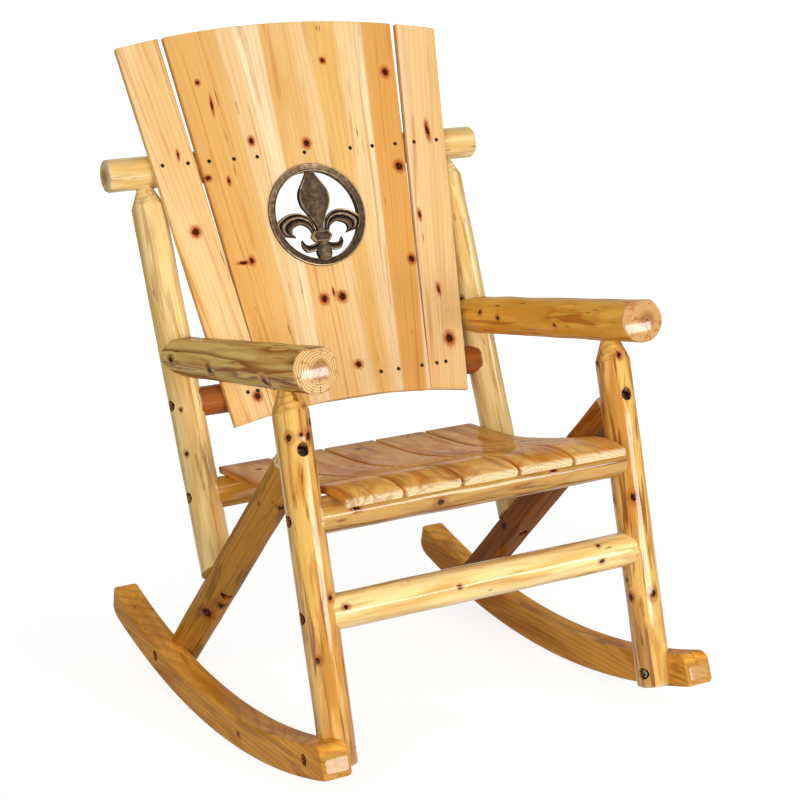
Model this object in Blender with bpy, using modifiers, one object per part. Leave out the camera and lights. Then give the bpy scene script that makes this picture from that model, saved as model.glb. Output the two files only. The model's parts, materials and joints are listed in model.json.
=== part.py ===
# Log rocking chair, metres, +Z up, front to -Y, origin under the middle of the runners.
from math import atan2, cos, hypot, pi, radians, sin, tan

import bmesh
import bpy
from mathutils import Matrix, Vector

# Gap left between pieces that touch
FIT = 0.0003
# Distance within which points are one
WELD = 0.000002
# How far cutting tools run past what they cut
OVER = 0.05
# Edges sharper than this are shaded sharp
SHARP = radians(32)

# Runners: the bottom is an arc whose middle facet lies flat on the floor
RUNNER_RADIUS = 1.437
RUNNER_DEPTH = 0.052
RUNNER_WIDTH = 0.0455
RUNNER_INNER_X = 0.2975
RUNNER_REACH = 0.449
RUNNER_FACETS = 25
RUNNER_EASE = 0.002
RUNNER_TOE_ROUND = 0.022
RUNNER_TOE_SOLE_ROUND = 0.010
RUNNER_HEEL_ROUND = 0.012
RUNNER_HEEL_SOLE_ROUND = 0.022

# Log radii
FRONT_POST_R = 0.028
BACK_POST_R = 0.0285
BRACE_R = 0.0285
ARM_R = 0.034
TOP_RAIL_R = 0.0278
LOWER_RAIL_R = 0.025
REAR_RAIL_R = 0.0255
FRONT_RAIL_R = 0.028
STRETCHER_R = 0.0275
LOG_SIDES = 24

# Distances of the log axes from the middle of the chair
FRONT_POST_X = 0.2833
BACK_POST_X = 0.285
BRACE_X = 0.2833
ARM_X = 0.2797
TOP_RAIL_HALF = 0.35

# How far short of the other log's axis a coped end stops
RAIL_COPE = 0.014
BRACE_COPE = 0.019

# Side view, points as (y, z) on the axes
FRONT_POST_FOOT = (-0.3721, 0.055)
FRONT_POST_LEAN = radians(11.4)
BACK_POST_LEAN = radians(19.35)
BRACE_AT = (0.0769, 0.1923)
BRACE_SLOPE = radians(41.3)
ARM_FRONT = (-0.358, 0.650)
ARM_RISE = radians(7.1)
FRONT_RAIL_Z = 0.4172
STRETCHER_Z = 0.2758
REAR_RAIL_AT = (0.0935, 0.3615)

# Log ends and flats
FRONT_TENON_R = 0.0155
FRONT_TAPER = 0.031
FRONT_TENON = 0.026
BACK_TENON_R = 0.0145
BACK_TAPER = 0.030
BACK_TENON = 0.021
FOOT_CHAMFER = 0.004
TONGUE_RAISE = 0.006
ARM_TOP_FLAT = 0.029
ARM_EASE = 0.003
RAIL_EASE = 0.004
TENON_CLEAR = 0.001
BRACE_SEAT_FLAT = 0.022
BRACE_INNER_FLAT = 0.0215
BRACE_OUTER_FLATS = {"left": (38, 0.0203), "right": (90, 0.0217)}
BRACE_PAST = 0.30
REAR_RAIL_FLATS = ((170, 0.0215), (230, 0.0225))

# Back boards, laid out in their own plane: x across, s up the slope
BOARD_FOOT = (0.0912, 0.4679)
BOARD_LEAN = radians(19.67)
BOARD_THICK = 0.012
BOARD_TOP_CROWN = (0.682, 0.300)
BOARD_FOOT_CROWN = (0.0195, 0.400)
BOARD_OUTER = (0.2217, 0.3024, 0.6545)
PANEL_HALF = (0.1490, 0.2143)
BOARD_GAP = (0.0015, 0.0105)
TOP_RAIL_S = 0.4496
TOP_RAIL_FLAT = 0.0018
LOWER_RAIL_S = 0.0545
LOWER_RAIL_FLAT = 0.001

# Medallion in the panel's round hole
MEDAL_S = 0.3388
MEDAL_R = 0.0903
MEDAL_IN_R = 0.0772
SPIGOT_R = 0.0826
SPIGOT = 0.008
RING_PROUD = 0.0055
RING_ROUND = 0.003
RING_DISH = 0.0012
LILY_THICK = 0.0065
LILY_EASE = 0.0014
CURL_SINK = 0.0006
DROP_SINK = 0.0003
TAIL_SINK = 0.0009
COLLAR_RISE = 0.0014
RING_SIDES = 40

# Seat slats: crown line from the rear edge to the front edge
SEAT_HALF = 0.2432
SLAT_COUNT = 5
SLAT_GAP = 0.006
SLAT_THICK = 0.012
SLAT_EASE = 0.0012
SEAT_BED_SIDE = 0.001
SEAT_LINE = (
    (0.1280, 0.3965), (0.0500, 0.3995), (-0.0300, 0.4048), (-0.1100, 0.4178), (-0.1900, 0.4345),
    (-0.2500, 0.4490), (-0.2900, 0.4560), (-0.3250, 0.4573), (-0.3520, 0.4533), (-0.3620, 0.4495),
)

# Bolts and nuts
BOLT_R = 0.004
BOLT_HEAD_R = 0.007
BOLT_HEAD = 0.0055
BOLT_CHAMFER = 0.0017
SOCKET_R = 0.003
SOCKET = 0.003
COUNTERBORE_R = 0.0092
POST_SEAT = 0.014
POST_SHANK = 0.089
RUNNER_SEAT = 0.012
RUNNER_FRONT_BOLT = (-0.3770, 0.0800)
RUNNER_REAR_BOLT = (0.2300, 0.0500)
BRACE_BOLT_DROP = 0.004
NUT_R = 0.007
NUT = 0.007
NUT_SINK = 0.010
NUT_PASS = 0.0015
FOOT_SEAT = 0.0117
FOOT_BITE = 0.045
BOLT_SIDES = 12

SIDES = (("left", -1), ("right", 1))
HONEY = (0.78, 0.50, 0.20)
PALE = (0.85, 0.58, 0.28)
AMBER = (0.58, 0.31, 0.10)
STEEL = (0.42, 0.41, 0.40)
BRONZE = (0.16, 0.10, 0.06)


# Scene set-up

for old in list(bpy.data.objects):
    bpy.data.objects.remove(old, do_unlink=True)
parts = bpy.data.collections.new("log_rocking_chair")
cutters = bpy.data.collections.new("cutters")
for group in (parts, cutters):
    bpy.context.scene.collection.children.link(group)


# Frames and plane geometry

# Local x stays across the chair and local z runs along the given side-view direction
def along(x, at, way):
    size = hypot(*way)
    a, b = way[0] / size, way[1] / size
    return Matrix(((1, 0, 0, x), (0, b, a, at[0]), (0, -a, b, at[1]), (0, 0, 0, 1)))


# Local x and y are the side view's y and z, local z runs across the chair
def sideways(x, at=(0, 0)):
    return Matrix(((0, 0, 1, x), (1, 0, 0, at[0]), (0, 1, 0, at[1]), (0, 0, 0, 1)))


# Local z points out of the chair on the given side
def outward(x, at, side):
    return Matrix(((0, 0, side, x), (1, 0, 0, at[0]), (0, side, 0, at[1]), (0, 0, 0, 1)))


def step(at, way, length):
    size = hypot(*way)
    return (at[0] + way[0] / size * length, at[1] + way[1] / size * length)


def meet(p, u, q, v):
    det = v[0] * u[1] - u[0] * v[1]
    t = (v[0] * (q[1] - p[1]) - v[1] * (q[0] - p[0])) / det
    return (p[0] + u[0] * t, p[1] + u[1] * t)


def distance(p, q):
    return hypot(p[0] - q[0], p[1] - q[1])


# Regular polygon with its flats planed off, each flat a direction in degrees and a distance
def planed(radius, flats=(), sides=LOG_SIDES):
    ring = [(radius * cos(2 * pi * i / sides), radius * sin(2 * pi * i / sides)) for i in range(sides)]
    for angle, depth in flats:
        n = (cos(radians(angle)), sin(radians(angle)))
        height = [p[0] * n[0] + p[1] * n[1] - depth for p in ring]
        kept = []
        for i, p in enumerate(ring):
            q, a, b = ring[i - 1], height[i - 1], height[i]
            if a * b < 0:
                t = a / (a - b)
                kept.append((q[0] + (p[0] - q[0]) * t, q[1] + (p[1] - q[1]) * t))
            if b <= 0:
                kept.append(p)
        ring = kept
    return ring


# Smooth line through points, a few steps to each span
def flowing(points, steps, closed=False):
    count = len(points)
    line = []
    for i in range(count if closed else count - 1):
        if closed:
            a, b, c, d = (points[(i + k) % count] for k in (-1, 0, 1, 2))
        else:
            a, b, c, d = (points[min(max(i + k, 0), count - 1)] for k in (-1, 0, 1, 2))
        for j in range(steps):
            t = j / steps
            near, far = 0.5 * t * (1 - t) ** 2, 0.5 * t ** 2 * (1 - t)
            ease = t ** 2 * (3 - 2 * t)
            line.append(tuple(
                q + (r - q) * ease + (r - p) * near - (s - q) * far
                for p, q, r, s in zip(a, b, c, d)
            ))
    if not closed:
        line.append(points[-1])
    return line


# Polygon corners rounded where a radius is given as the third value
def rounded(corners, steps=4):
    ring = []
    for i, (x, y, radius) in enumerate(corners):
        if not radius:
            ring.append((x, y))
            continue
        here = Vector((x, y))
        before = (Vector(corners[i - 1][:2]) - here).normalized()
        after = (Vector(corners[(i + 1) % len(corners)][:2]) - here).normalized()
        half = before.angle(after) / 2
        middle = here + (before + after).normalized() * (radius / sin(half))
        start = here + before * (radius / tan(half)) - middle
        turn = start.angle_signed(here + after * (radius / tan(half)) - middle)
        for j in range(steps + 1):
            spoke = start.copy()
            spoke.rotate(Matrix.Rotation(-turn * j / steps, 2))
            ring.append(tuple(middle + spoke))
    return ring


# Meshes

def weld(mesh):
    bm = bmesh.new()
    bm.from_mesh(mesh)
    bmesh.ops.remove_doubles(bm, verts=bm.verts, dist=WELD)
    bmesh.ops.recalc_face_normals(bm, faces=bm.faces)
    bm.to_mesh(mesh)
    bm.free()
    return mesh


def evaluated(holder):
    bpy.context.scene.collection.objects.link(holder)
    graph = bpy.context.evaluated_depsgraph_get()
    mesh = weld(bpy.data.meshes.new_from_object(holder.evaluated_get(graph)))
    bpy.data.objects.remove(holder, do_unlink=True)
    return mesh


# Flat outline with thickness, centred on local z
def slab(rings, depth, ease=0.0):
    curve = bpy.data.curves.new("outline", "CURVE")
    curve.dimensions = "2D"
    curve.fill_mode = "BOTH"
    curve.extrude = depth / 2 - ease
    curve.bevel_depth = ease
    curve.bevel_resolution = 0
    curve.offset = -ease
    for ring in rings:
        spline = curve.splines.new("POLY")
        spline.points.add(len(ring) - 1)
        spline.use_cyclic_u = True
        for point, (x, y) in zip(spline.points, ring):
            point.co = (x, y, 0, 1)
    mesh = evaluated(bpy.data.objects.new("outline", curve))
    bpy.data.curves.remove(curve)
    return mesh


# Turned shape from a list of (radius, height)
def turned(profile, sides, closed=False):
    mesh = bpy.data.meshes.new("profile")
    edges = [(i, i + 1) for i in range(len(profile) - 1)]
    if closed:
        edges.append((len(profile) - 1, 0))
    mesh.from_pydata([(r, 0, z) for r, z in profile], edges, [])
    holder = bpy.data.objects.new("profile", mesh)
    lathe = holder.modifiers.new("lathe", "SCREW")
    lathe.axis = "Z"
    lathe.steps = sides
    lathe.render_steps = sides
    lathe.use_merge_vertices = True
    lathe.merge_threshold = WELD
    result = evaluated(holder)
    bpy.data.meshes.remove(mesh)
    return result


# Objects

def paint(obj, colour, rough, metal):
    material = bpy.data.materials.new(obj.name)
    material.use_nodes = True
    shader = material.node_tree.nodes["Principled BSDF"]
    shader.inputs["Base Color"].default_value = (*colour, 1)
    shader.inputs["Roughness"].default_value = rough
    shader.inputs["Metallic"].default_value = metal
    obj.data.materials.append(material)


def piece(name, mesh, frame, colour=HONEY, rough=0.3, metal=0.0):
    mesh.name = name
    mesh.shade_smooth()
    mesh.set_sharp_from_angle(angle=SHARP)
    obj = bpy.data.objects.new(name, mesh)
    obj.matrix_world = frame
    parts.objects.link(obj)
    paint(obj, colour, rough, metal)
    return obj


def tool(name, mesh, frame):
    obj = bpy.data.objects.new(name, mesh)
    obj.matrix_world = frame
    obj.hide_render = True
    obj.display_type = "WIRE"
    cutters.objects.link(obj)
    return obj


def shape(obj, operation, *tools):
    for other in tools:
        change = obj.modifiers.new(other.name, "BOOLEAN")
        change.operation = operation
        change.solver = "EXACT"
        change.object = other


def cut(obj, *tools):
    shape(obj, "DIFFERENCE", *tools)


# Directions and points worked out from the driving sizes

post_way = (sin(FRONT_POST_LEAN), cos(FRONT_POST_LEAN))
leg_way = (sin(BACK_POST_LEAN), cos(BACK_POST_LEAN))
brace_way = (cos(BRACE_SLOPE), -sin(BRACE_SLOPE))
brace_up = (sin(BRACE_SLOPE), cos(BRACE_SLOPE))
arm_way = (-cos(ARM_RISE), sin(ARM_RISE))
board_way = (sin(BOARD_LEAN), cos(BOARD_LEAN))
board_back = (cos(BOARD_LEAN), -sin(BOARD_LEAN))

board_behind = step(BOARD_FOOT, board_back, BOARD_THICK + FIT)
top_rail_at = step(step(board_behind, board_way, TOP_RAIL_S), board_back, TOP_RAIL_R - TOP_RAIL_FLAT)
lower_rail_at = step(step(board_behind, board_way, LOWER_RAIL_S), board_back, LOWER_RAIL_R - LOWER_RAIL_FLAT)
arm_on_post = meet(FRONT_POST_FOOT, post_way, ARM_FRONT, arm_way)
arm_on_leg = meet(top_rail_at, leg_way, ARM_FRONT, arm_way)
brace_on_post = meet(FRONT_POST_FOOT, post_way, BRACE_AT, brace_way)
brace_on_leg = meet(top_rail_at, leg_way, BRACE_AT, brace_way)
foot_on_brace = meet(top_rail_at, leg_way, step(BRACE_AT, brace_up, BRACE_SEAT_FLAT), brace_way)
front_rail_at = meet(FRONT_POST_FOOT, post_way, (0, FRONT_RAIL_Z), (1, 0))
stretcher_at = meet(FRONT_POST_FOOT, post_way, (0, STRETCHER_Z), (1, 0))
board_frame = Matrix((
    (1, 0, 0, 0),
    (0, board_way[0], -board_back[0], BOARD_FOOT[0]),
    (0, board_way[1], -board_back[1], BOARD_FOOT[1]),
    (0, 0, 0, 1),
))
board_angle = 180 - BOARD_LEAN * 180 / pi


# Runners

half_turn = atan2(RUNNER_REACH, (RUNNER_RADIUS ** 2 - RUNNER_REACH ** 2) ** 0.5)
facet = 2 * half_turn / RUNNER_FACETS


# Points of the runner's arc at a height above its sole, from front to rear
def runner_arc(height):
    radius = RUNNER_RADIUS / cos(facet / 2) - height
    turns = [-half_turn + facet * i for i in range(RUNNER_FACETS + 1)]
    return [(radius * sin(t), RUNNER_RADIUS - radius * cos(t)) for t in turns]


sole = [(*p, 0) for p in runner_arc(0)]
top = [(*p, 0) for p in reversed(runner_arc(RUNNER_DEPTH))]
sole[0] = (*sole[0][:2], RUNNER_TOE_SOLE_ROUND)
sole[-1] = (*sole[-1][:2], RUNNER_HEEL_SOLE_ROUND)
top[0] = (*top[0][:2], RUNNER_HEEL_ROUND)
top[-1] = (*top[-1][:2], RUNNER_TOE_ROUND)
runner_ring = rounded(sole + top)
bed = runner_arc(RUNNER_DEPTH + FIT)
bed_ring = [(bed[0][0], -OVER), (bed[-1][0], -OVER)] + bed[::-1]
tongue = runner_arc(TONGUE_RAISE)
tongue_ring = [(tongue[0][0], -OVER), (tongue[-1][0], -OVER)] + tongue[::-1]
runner_x = RUNNER_INNER_X + RUNNER_WIDTH / 2
bed_width = RUNNER_WIDTH + OVER

runners, runner_beds, tongue_ends = {}, {}, {}
for name, side in SIDES:
    runners[name] = piece(
        "rocker_" + name, slab([runner_ring], RUNNER_WIDTH, RUNNER_EASE), sideways(side * runner_x), AMBER)
    bed_x = side * (RUNNER_INNER_X - FIT + bed_width / 2)
    runner_beds[name] = tool("bed_" + name, slab([bed_ring], bed_width), sideways(bed_x))
    tongue_ends[name] = tool(
        "tongue_" + name, slab([tongue_ring], 2 * (BRACE_R + OVER)), sideways(side * BRACE_X))


# Posts and the round tools that cope other logs to them

def front_post(grow):
    neck = distance(FRONT_POST_FOOT, arm_on_post) - ARM_R - TENON_CLEAR
    chamfer = FOOT_CHAMFER
    return turned([
        (0, -grow), (FRONT_POST_R - chamfer + grow, -grow), (FRONT_POST_R + grow, chamfer),
        (FRONT_POST_R + grow, neck - FRONT_TAPER), (FRONT_TENON_R + grow, neck),
        (FRONT_TENON_R + grow, neck + FRONT_TENON + grow), (0, neck + FRONT_TENON + grow),
    ], LOG_SIDES)


def back_post(grow):
    neck = distance(brace_on_leg, top_rail_at) - TOP_RAIL_R - TENON_CLEAR
    return turned([
        (0, 0), (BACK_POST_R + grow, 0), (BACK_POST_R + grow, neck - BACK_TAPER), (BACK_TENON_R + grow, neck),
        (BACK_TENON_R + grow, neck + BACK_TENON + grow), (0, neck + BACK_TENON + grow),
    ], LOG_SIDES)


posts, legs, post_tools, leg_tools = {}, {}, {}, {}
for name, side in SIDES:
    frame = along(side * FRONT_POST_X, FRONT_POST_FOOT, post_way)
    posts[name] = piece("front_post_" + name, front_post(0), frame)
    post_tools[name] = tool("round_post_" + name, front_post(FIT), frame)
    cut(posts[name], runner_beds[name])
    frame = along(side * BACK_POST_X, brace_on_leg, leg_way)
    legs[name] = piece("back_post_" + name, back_post(0), frame)
    leg_tools[name] = tool("round_leg_" + name, back_post(FIT), frame)


# Braces

brace_top = distance(BRACE_AT, brace_on_post)
brace_length = brace_top + BRACE_PAST
braces = {}
for name, side in SIDES:
    side_flats = ((180, BRACE_INNER_FLAT), BRACE_OUTER_FLATS[name])
    flats = [(-90, BRACE_SEAT_FLAT)] + [(a if side > 0 else 180 - a, d) for a, d in side_flats]
    middle = step(brace_on_post, brace_way, brace_length / 2 + BRACE_COPE)
    frame = along(side * BRACE_X, middle, brace_way)
    braces[name] = piece("brace_" + name, slab([planed(BRACE_R, flats)], brace_length), frame, AMBER)
    cut(braces[name], post_tools[name], runner_beds[name], tongue_ends[name])
    low = step(brace_on_leg, brace_up, BRACE_SEAT_FLAT + FIT - OVER)
    block = slab([[(-OVER, -OVER), (OVER, -OVER), (OVER, OVER), (-OVER, OVER)]], 6 * OVER)
    cut(legs[name], tool("foot_" + name, block, along(side * BACK_POST_X, low, brace_way)))


# Arms

arm_length = distance(ARM_FRONT, arm_on_leg)
arms = {}
for name, side in SIDES:
    frame = along(side * ARM_X, step(ARM_FRONT, arm_way, -arm_length / 2), arm_way)
    arms[name] = piece("arm_" + name, slab([planed(ARM_R, [(90, ARM_TOP_FLAT)])], arm_length, ARM_EASE), frame)
    cut(arms[name], post_tools[name], leg_tools[name])


# Rails

def rail(name, radius, at, half, flats=(), ease=0.0, colour=HONEY):
    return piece(name, slab([planed(radius, flats)], 2 * half, ease), sideways(0, at), colour)


top_flat = [(board_angle, TOP_RAIL_R - TOP_RAIL_FLAT)]
top_rail = rail("top_back_rail", TOP_RAIL_R, top_rail_at, TOP_RAIL_HALF, top_flat, RAIL_EASE)
lower_flat = [(board_angle, LOWER_RAIL_R - LOWER_RAIL_FLAT)]
lower_rail = rail("lower_back_rail", LOWER_RAIL_R, lower_rail_at, BACK_POST_X - RAIL_COPE, lower_flat)
rear_rail = rail(
    "rear_seat_rail", REAR_RAIL_R, REAR_RAIL_AT, BACK_POST_X - RAIL_COPE, REAR_RAIL_FLATS, colour=AMBER)
front_rail = rail("front_seat_rail", FRONT_RAIL_R, front_rail_at, FRONT_POST_X - RAIL_COPE)
stretcher = rail("front_stretcher", STRETCHER_R, stretcher_at, FRONT_POST_X - RAIL_COPE)
for name, side in SIDES:
    cut(top_rail, leg_tools[name])
    cut(lower_rail, leg_tools[name])
    cut(rear_rail, leg_tools[name])
    cut(front_rail, post_tools[name])
    cut(stretcher, post_tools[name])


# Seat slats

crown = flowing(SEAT_LINE, 2)


# The crown line moved square to itself, down for a positive depth
def under(depth):
    line = []
    for i, p in enumerate(crown):
        before, after = crown[max(i - 1, 0)], crown[min(i + 1, len(crown) - 1)]
        way = Vector(after) - Vector(before)
        way.normalize()
        line.append((p[0] - way.y * depth, p[1] + way.x * depth))
    return line


slat_ring = crown + under(SLAT_THICK)[::-1]
seat_ring = under(SLAT_THICK + FIT) + under(-OVER)[::-1]
seat_tool = tool("seat_bed", slab([seat_ring], 2 * (SEAT_HALF + SEAT_BED_SIDE)), sideways(0))
cut(front_rail, seat_tool)
cut(rear_rail, seat_tool)
slat_width = (2 * SEAT_HALF - (SLAT_COUNT - 1) * SLAT_GAP) / SLAT_COUNT
slat_x = [(i - (SLAT_COUNT - 1) / 2) * (slat_width + SLAT_GAP) for i in range(SLAT_COUNT)]
for i, x in enumerate(slat_x):
    piece("seat_slat_" + str(i + 1), slab([slat_ring], slat_width, SLAT_EASE), sideways(x), AMBER)


# Back boards

def crowned(line, x):
    return line[0] - line[1] * x * x


# Board between two fanned edges, each edge its x at the foot and at the reference height
def board_ring(left, right, steps):
    def edge(line, s):
        return line[0] + (line[1] - line[0]) * s / BOARD_OUTER[2]

    def end(line, crown_line):
        x = line[0]
        for _ in range(6):
            x = edge(line, crowned(crown_line, x))
        return x

    ring = []
    for crown_line, first, last in ((BOARD_FOOT_CROWN, left, right), (BOARD_TOP_CROWN, right, left)):
        a, b = end(first, crown_line), end(last, crown_line)
        for i in range(steps + 1):
            x = a + (b - a) * i / steps
            ring.append((x, crowned(crown_line, x)))
    return ring


hole_ring = [
    ((SPIGOT_R + FIT) * cos(2 * pi * i / RING_SIDES), MEDAL_S + (SPIGOT_R + FIT) * sin(2 * pi * i / RING_SIDES))
    for i in range(RING_SIDES)
]
gap_edge = (PANEL_HALF[0] + BOARD_GAP[0], PANEL_HALF[1] + BOARD_GAP[1])
slab_frame = board_frame @ Matrix.Translation((0, 0, -BOARD_THICK / 2))
panel_ring = board_ring((-PANEL_HALF[0], -PANEL_HALF[1]), PANEL_HALF, 12)
piece("back_panel", slab([panel_ring, hole_ring], BOARD_THICK), slab_frame, PALE)
for name, side in SIDES:
    ring = board_ring([side * x for x in gap_edge], [side * x for x in BOARD_OUTER[:2]], 4)
    piece("back_board_" + name, slab([ring], BOARD_THICK), slab_frame, PALE)


# Medallion: a cast ring with a lily, outlines in units of the ring's radius

PETAL = (
    (0.085, 0.90), (0.095, 0.80), (0.185, 0.66), (0.290, 0.50), (0.328, 0.36), (0.300, 0.18), (0.195, 0.01),
    (0.085, -0.20), (0.060, -0.42),
)
CURL = (
    (0.070, -0.42), (0.105, -0.28), (0.155, -0.10), (0.270, 0.025), (0.470, 0.078), (0.690, 0.030),
    (0.875, -0.10), (0.880, -0.22), (0.775, -0.345), (0.530, -0.400), (0.575, -0.320), (0.545, -0.228),
    (0.385, -0.165), (0.240, -0.235), (0.185, -0.335), (0.165, -0.45),
)
COLLAR = ((0.160, -0.325), (0.225, -0.420), (0.160, -0.520))
DROP = ((0.075, -0.46), (0.095, -0.55), (0.132, -0.68), (0.100, -0.79), (0.085, -0.90))
TAIL = (
    (0.060, -0.47), (0.130, -0.53), (0.250, -0.562), (0.345, -0.545), (0.412, -0.465), (0.435, -0.59),
    (0.345, -0.700), (0.150, -0.690), (0.050, -0.60),
)


def scaled(ring, size=MEDAL_R):
    return [(x * size, y * size) for x, y in ring]


def mirrored(ring):
    return [(-x, y) for x, y in reversed(ring)]


def both_sides(half):
    line = flowing(half, 2)
    return line + mirrored(line)


medal_frame = board_frame @ Matrix.Translation((0, MEDAL_S, 0))
ring_profile = [
    (SPIGOT_R, -SPIGOT), (SPIGOT_R, FIT), (MEDAL_R, FIT), (MEDAL_R, RING_PROUD - RING_ROUND),
    (MEDAL_R - RING_ROUND, RING_PROUD), (MEDAL_IN_R + RING_ROUND, RING_PROUD - RING_DISH),
    (MEDAL_IN_R, RING_PROUD - RING_ROUND),
    (MEDAL_IN_R, -SPIGOT),
]
medallion = piece("medallion", turned(ring_profile, RING_SIDES, True), medal_frame, BRONZE, 0.45, 0.9)
lily = (
    ("petal", both_sides(PETAL), 0.0),
    ("curl_right", flowing(CURL, 2, True), -CURL_SINK),
    ("curl_left", mirrored(flowing(CURL, 2, True)), -CURL_SINK),
    ("drop", both_sides(DROP), -DROP_SINK),
    ("tail_right", flowing(TAIL, 2, True), -TAIL_SINK),
    ("tail_left", mirrored(flowing(TAIL, 2, True)), -TAIL_SINK),
    ("collar", list(COLLAR) + mirrored(COLLAR), COLLAR_RISE),
)
for name, ring, lift in lily:
    frame = medal_frame @ Matrix.Translation((0, 0, lift))
    shape(medallion, "UNION", tool(name, slab([scaled(ring)], LILY_THICK, LILY_EASE), frame))


# Bolts with socket heads, seated at local z = 0 with the shank below

def bolt(shank):
    return turned([
        (0, -shank), (BOLT_R, -shank), (BOLT_R, 0), (BOLT_HEAD_R, 0), (BOLT_HEAD_R, BOLT_HEAD - BOLT_CHAMFER),
        (BOLT_HEAD_R - BOLT_CHAMFER, BOLT_HEAD), (SOCKET_R, BOLT_HEAD), (SOCKET_R, BOLT_HEAD - SOCKET),
        (0, BOLT_HEAD - SOCKET),
    ], BOLT_SIDES)


def bolt_hole(shank):
    wide = BOLT_R + FIT
    return turned([
        (0, -shank - FIT), (wide, -shank - FIT), (wide, -FIT), (COUNTERBORE_R, -FIT),
        (COUNTERBORE_R, OVER), (0, OVER),
    ], BOLT_SIDES)


def fasten(name, shank, frame, drilled):
    piece(name, bolt(shank), frame, STEEL, 0.35, 0.9)
    hole = tool(name + "_hole", bolt_hole(shank), frame)
    for obj in drilled:
        cut(obj, hole)


back_along = (-brace_way[0], -brace_way[1])
brace_seat = step(step(brace_on_post, brace_way, -POST_SEAT), brace_up, -BRACE_BOLT_DROP)
foot_seat = step(foot_on_brace, brace_up, -BRACE_SEAT_FLAT - FOOT_SEAT)
arm_seat = step(arm_on_leg, arm_way, -POST_SEAT)
for name, side in SIDES:
    post, leg, brace, arm = posts[name], legs[name], braces[name], arms[name]
    for label, x, at, drilled in (
        ("front_rail_bolt_", FRONT_POST_X, front_rail_at, (post, front_rail)),
        ("stretcher_bolt_", FRONT_POST_X, stretcher_at, (post, stretcher)),
        ("rear_rail_bolt_", BACK_POST_X, REAR_RAIL_AT, (leg, rear_rail)),
        ("lower_rail_bolt_", BACK_POST_X, lower_rail_at, (leg, lower_rail)),
    ):
        fasten(label + name, POST_SHANK, outward(side * (x + POST_SEAT), at, side), drilled)
    fasten(
        "arm_bolt_" + name, POST_SHANK, along(side * ARM_X, arm_seat, (-arm_way[0], -arm_way[1])), (leg, arm))
    fasten("brace_bolt_" + name, POST_SHANK, along(side * BRACE_X, brace_seat, back_along), (post, brace))
    fasten(
        "foot_bolt_" + name, BRACE_SEAT_FLAT + FOOT_SEAT + FOOT_BITE,
        along(side * BACK_POST_X, foot_seat, (-brace_up[0], -brace_up[1])), (leg, brace))


# Through bolts of the runners, each with a nut sunk in the tongue

nut_ring = [(BOLT_R + FIT, 0), (NUT_R, 0), (NUT_R, NUT), (BOLT_R + FIT, NUT)]
nut_room = [(0, -FIT), (COUNTERBORE_R, -FIT), (COUNTERBORE_R, OVER), (0, OVER)]


def through_bolt(label, side, at, inner_x, runner, log):
    seat_x = RUNNER_INNER_X + RUNNER_WIDTH - RUNNER_SEAT
    nut_x = inner_x + NUT_SINK
    shank = seat_x - nut_x + NUT - NUT_PASS
    name = label[0] + "_bolt_" + label[1]
    fasten(name, shank, outward(side * seat_x, at, side), (runner, log))
    frame = outward(side * nut_x, at, -side)
    piece(label[0] + "_nut_" + label[1], turned(nut_ring, BOLT_SIDES, True), frame, STEEL, 0.35, 0.9)
    cut(log, tool(name + "_nut", turned(nut_room, BOLT_SIDES), frame))


post_off = meet(FRONT_POST_FOOT, post_way, (0, RUNNER_FRONT_BOLT[1]), (1, 0))[0] - RUNNER_FRONT_BOLT[0]
post_inner = FRONT_POST_X - (FRONT_POST_R ** 2 - post_off ** 2) ** 0.5
brace_inner = BRACE_X - BRACE_INNER_FLAT
for name, side in SIDES:
    through_bolt(("rocker_front", name), side, RUNNER_FRONT_BOLT, post_inner, runners[name], posts[name])
    through_bolt(("rocker_rear", name), side, RUNNER_REAR_BOLT, brace_inner, runners[name], braces[name])
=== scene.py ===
import json
from functools import partial
from math import acos, cos, pi, radians, sin

import bmesh
import bpy
import numpy as np
from mathutils import Matrix, Vector

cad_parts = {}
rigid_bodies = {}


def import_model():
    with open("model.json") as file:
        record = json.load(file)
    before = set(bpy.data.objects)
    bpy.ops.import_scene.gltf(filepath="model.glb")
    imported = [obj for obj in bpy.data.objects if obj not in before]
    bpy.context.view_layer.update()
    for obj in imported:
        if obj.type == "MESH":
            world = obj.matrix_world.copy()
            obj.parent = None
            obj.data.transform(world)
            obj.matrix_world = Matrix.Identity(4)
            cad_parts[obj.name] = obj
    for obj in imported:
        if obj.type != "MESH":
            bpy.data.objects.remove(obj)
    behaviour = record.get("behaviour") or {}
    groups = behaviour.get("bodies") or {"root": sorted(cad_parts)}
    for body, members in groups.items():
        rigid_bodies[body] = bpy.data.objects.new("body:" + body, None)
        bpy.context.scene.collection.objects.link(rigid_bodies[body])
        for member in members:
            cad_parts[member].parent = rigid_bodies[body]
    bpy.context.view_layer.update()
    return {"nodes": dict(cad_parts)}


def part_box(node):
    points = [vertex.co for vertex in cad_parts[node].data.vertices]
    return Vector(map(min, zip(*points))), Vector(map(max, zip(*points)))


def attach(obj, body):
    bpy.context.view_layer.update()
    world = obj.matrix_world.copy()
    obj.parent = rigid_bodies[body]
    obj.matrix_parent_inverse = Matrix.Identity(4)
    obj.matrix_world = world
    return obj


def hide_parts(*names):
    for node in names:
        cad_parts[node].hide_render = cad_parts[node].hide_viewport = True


for old in list(bpy.data.objects):
    bpy.data.objects.remove(old)
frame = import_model()
scene = bpy.context.scene
print("frame:", len(frame["nodes"]), "nodes")


def newObject(name, data):
    obj = bpy.data.objects.new(name, data)
    scene.collection.objects.link(obj)
    return obj


def newMesh(name, points, faces=()):
    mesh = bpy.data.meshes.new(name)
    mesh.from_pydata(np.asarray(points, float).tolist(), [], faces)
    return mesh


# Camera, at the photograph's place

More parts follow.
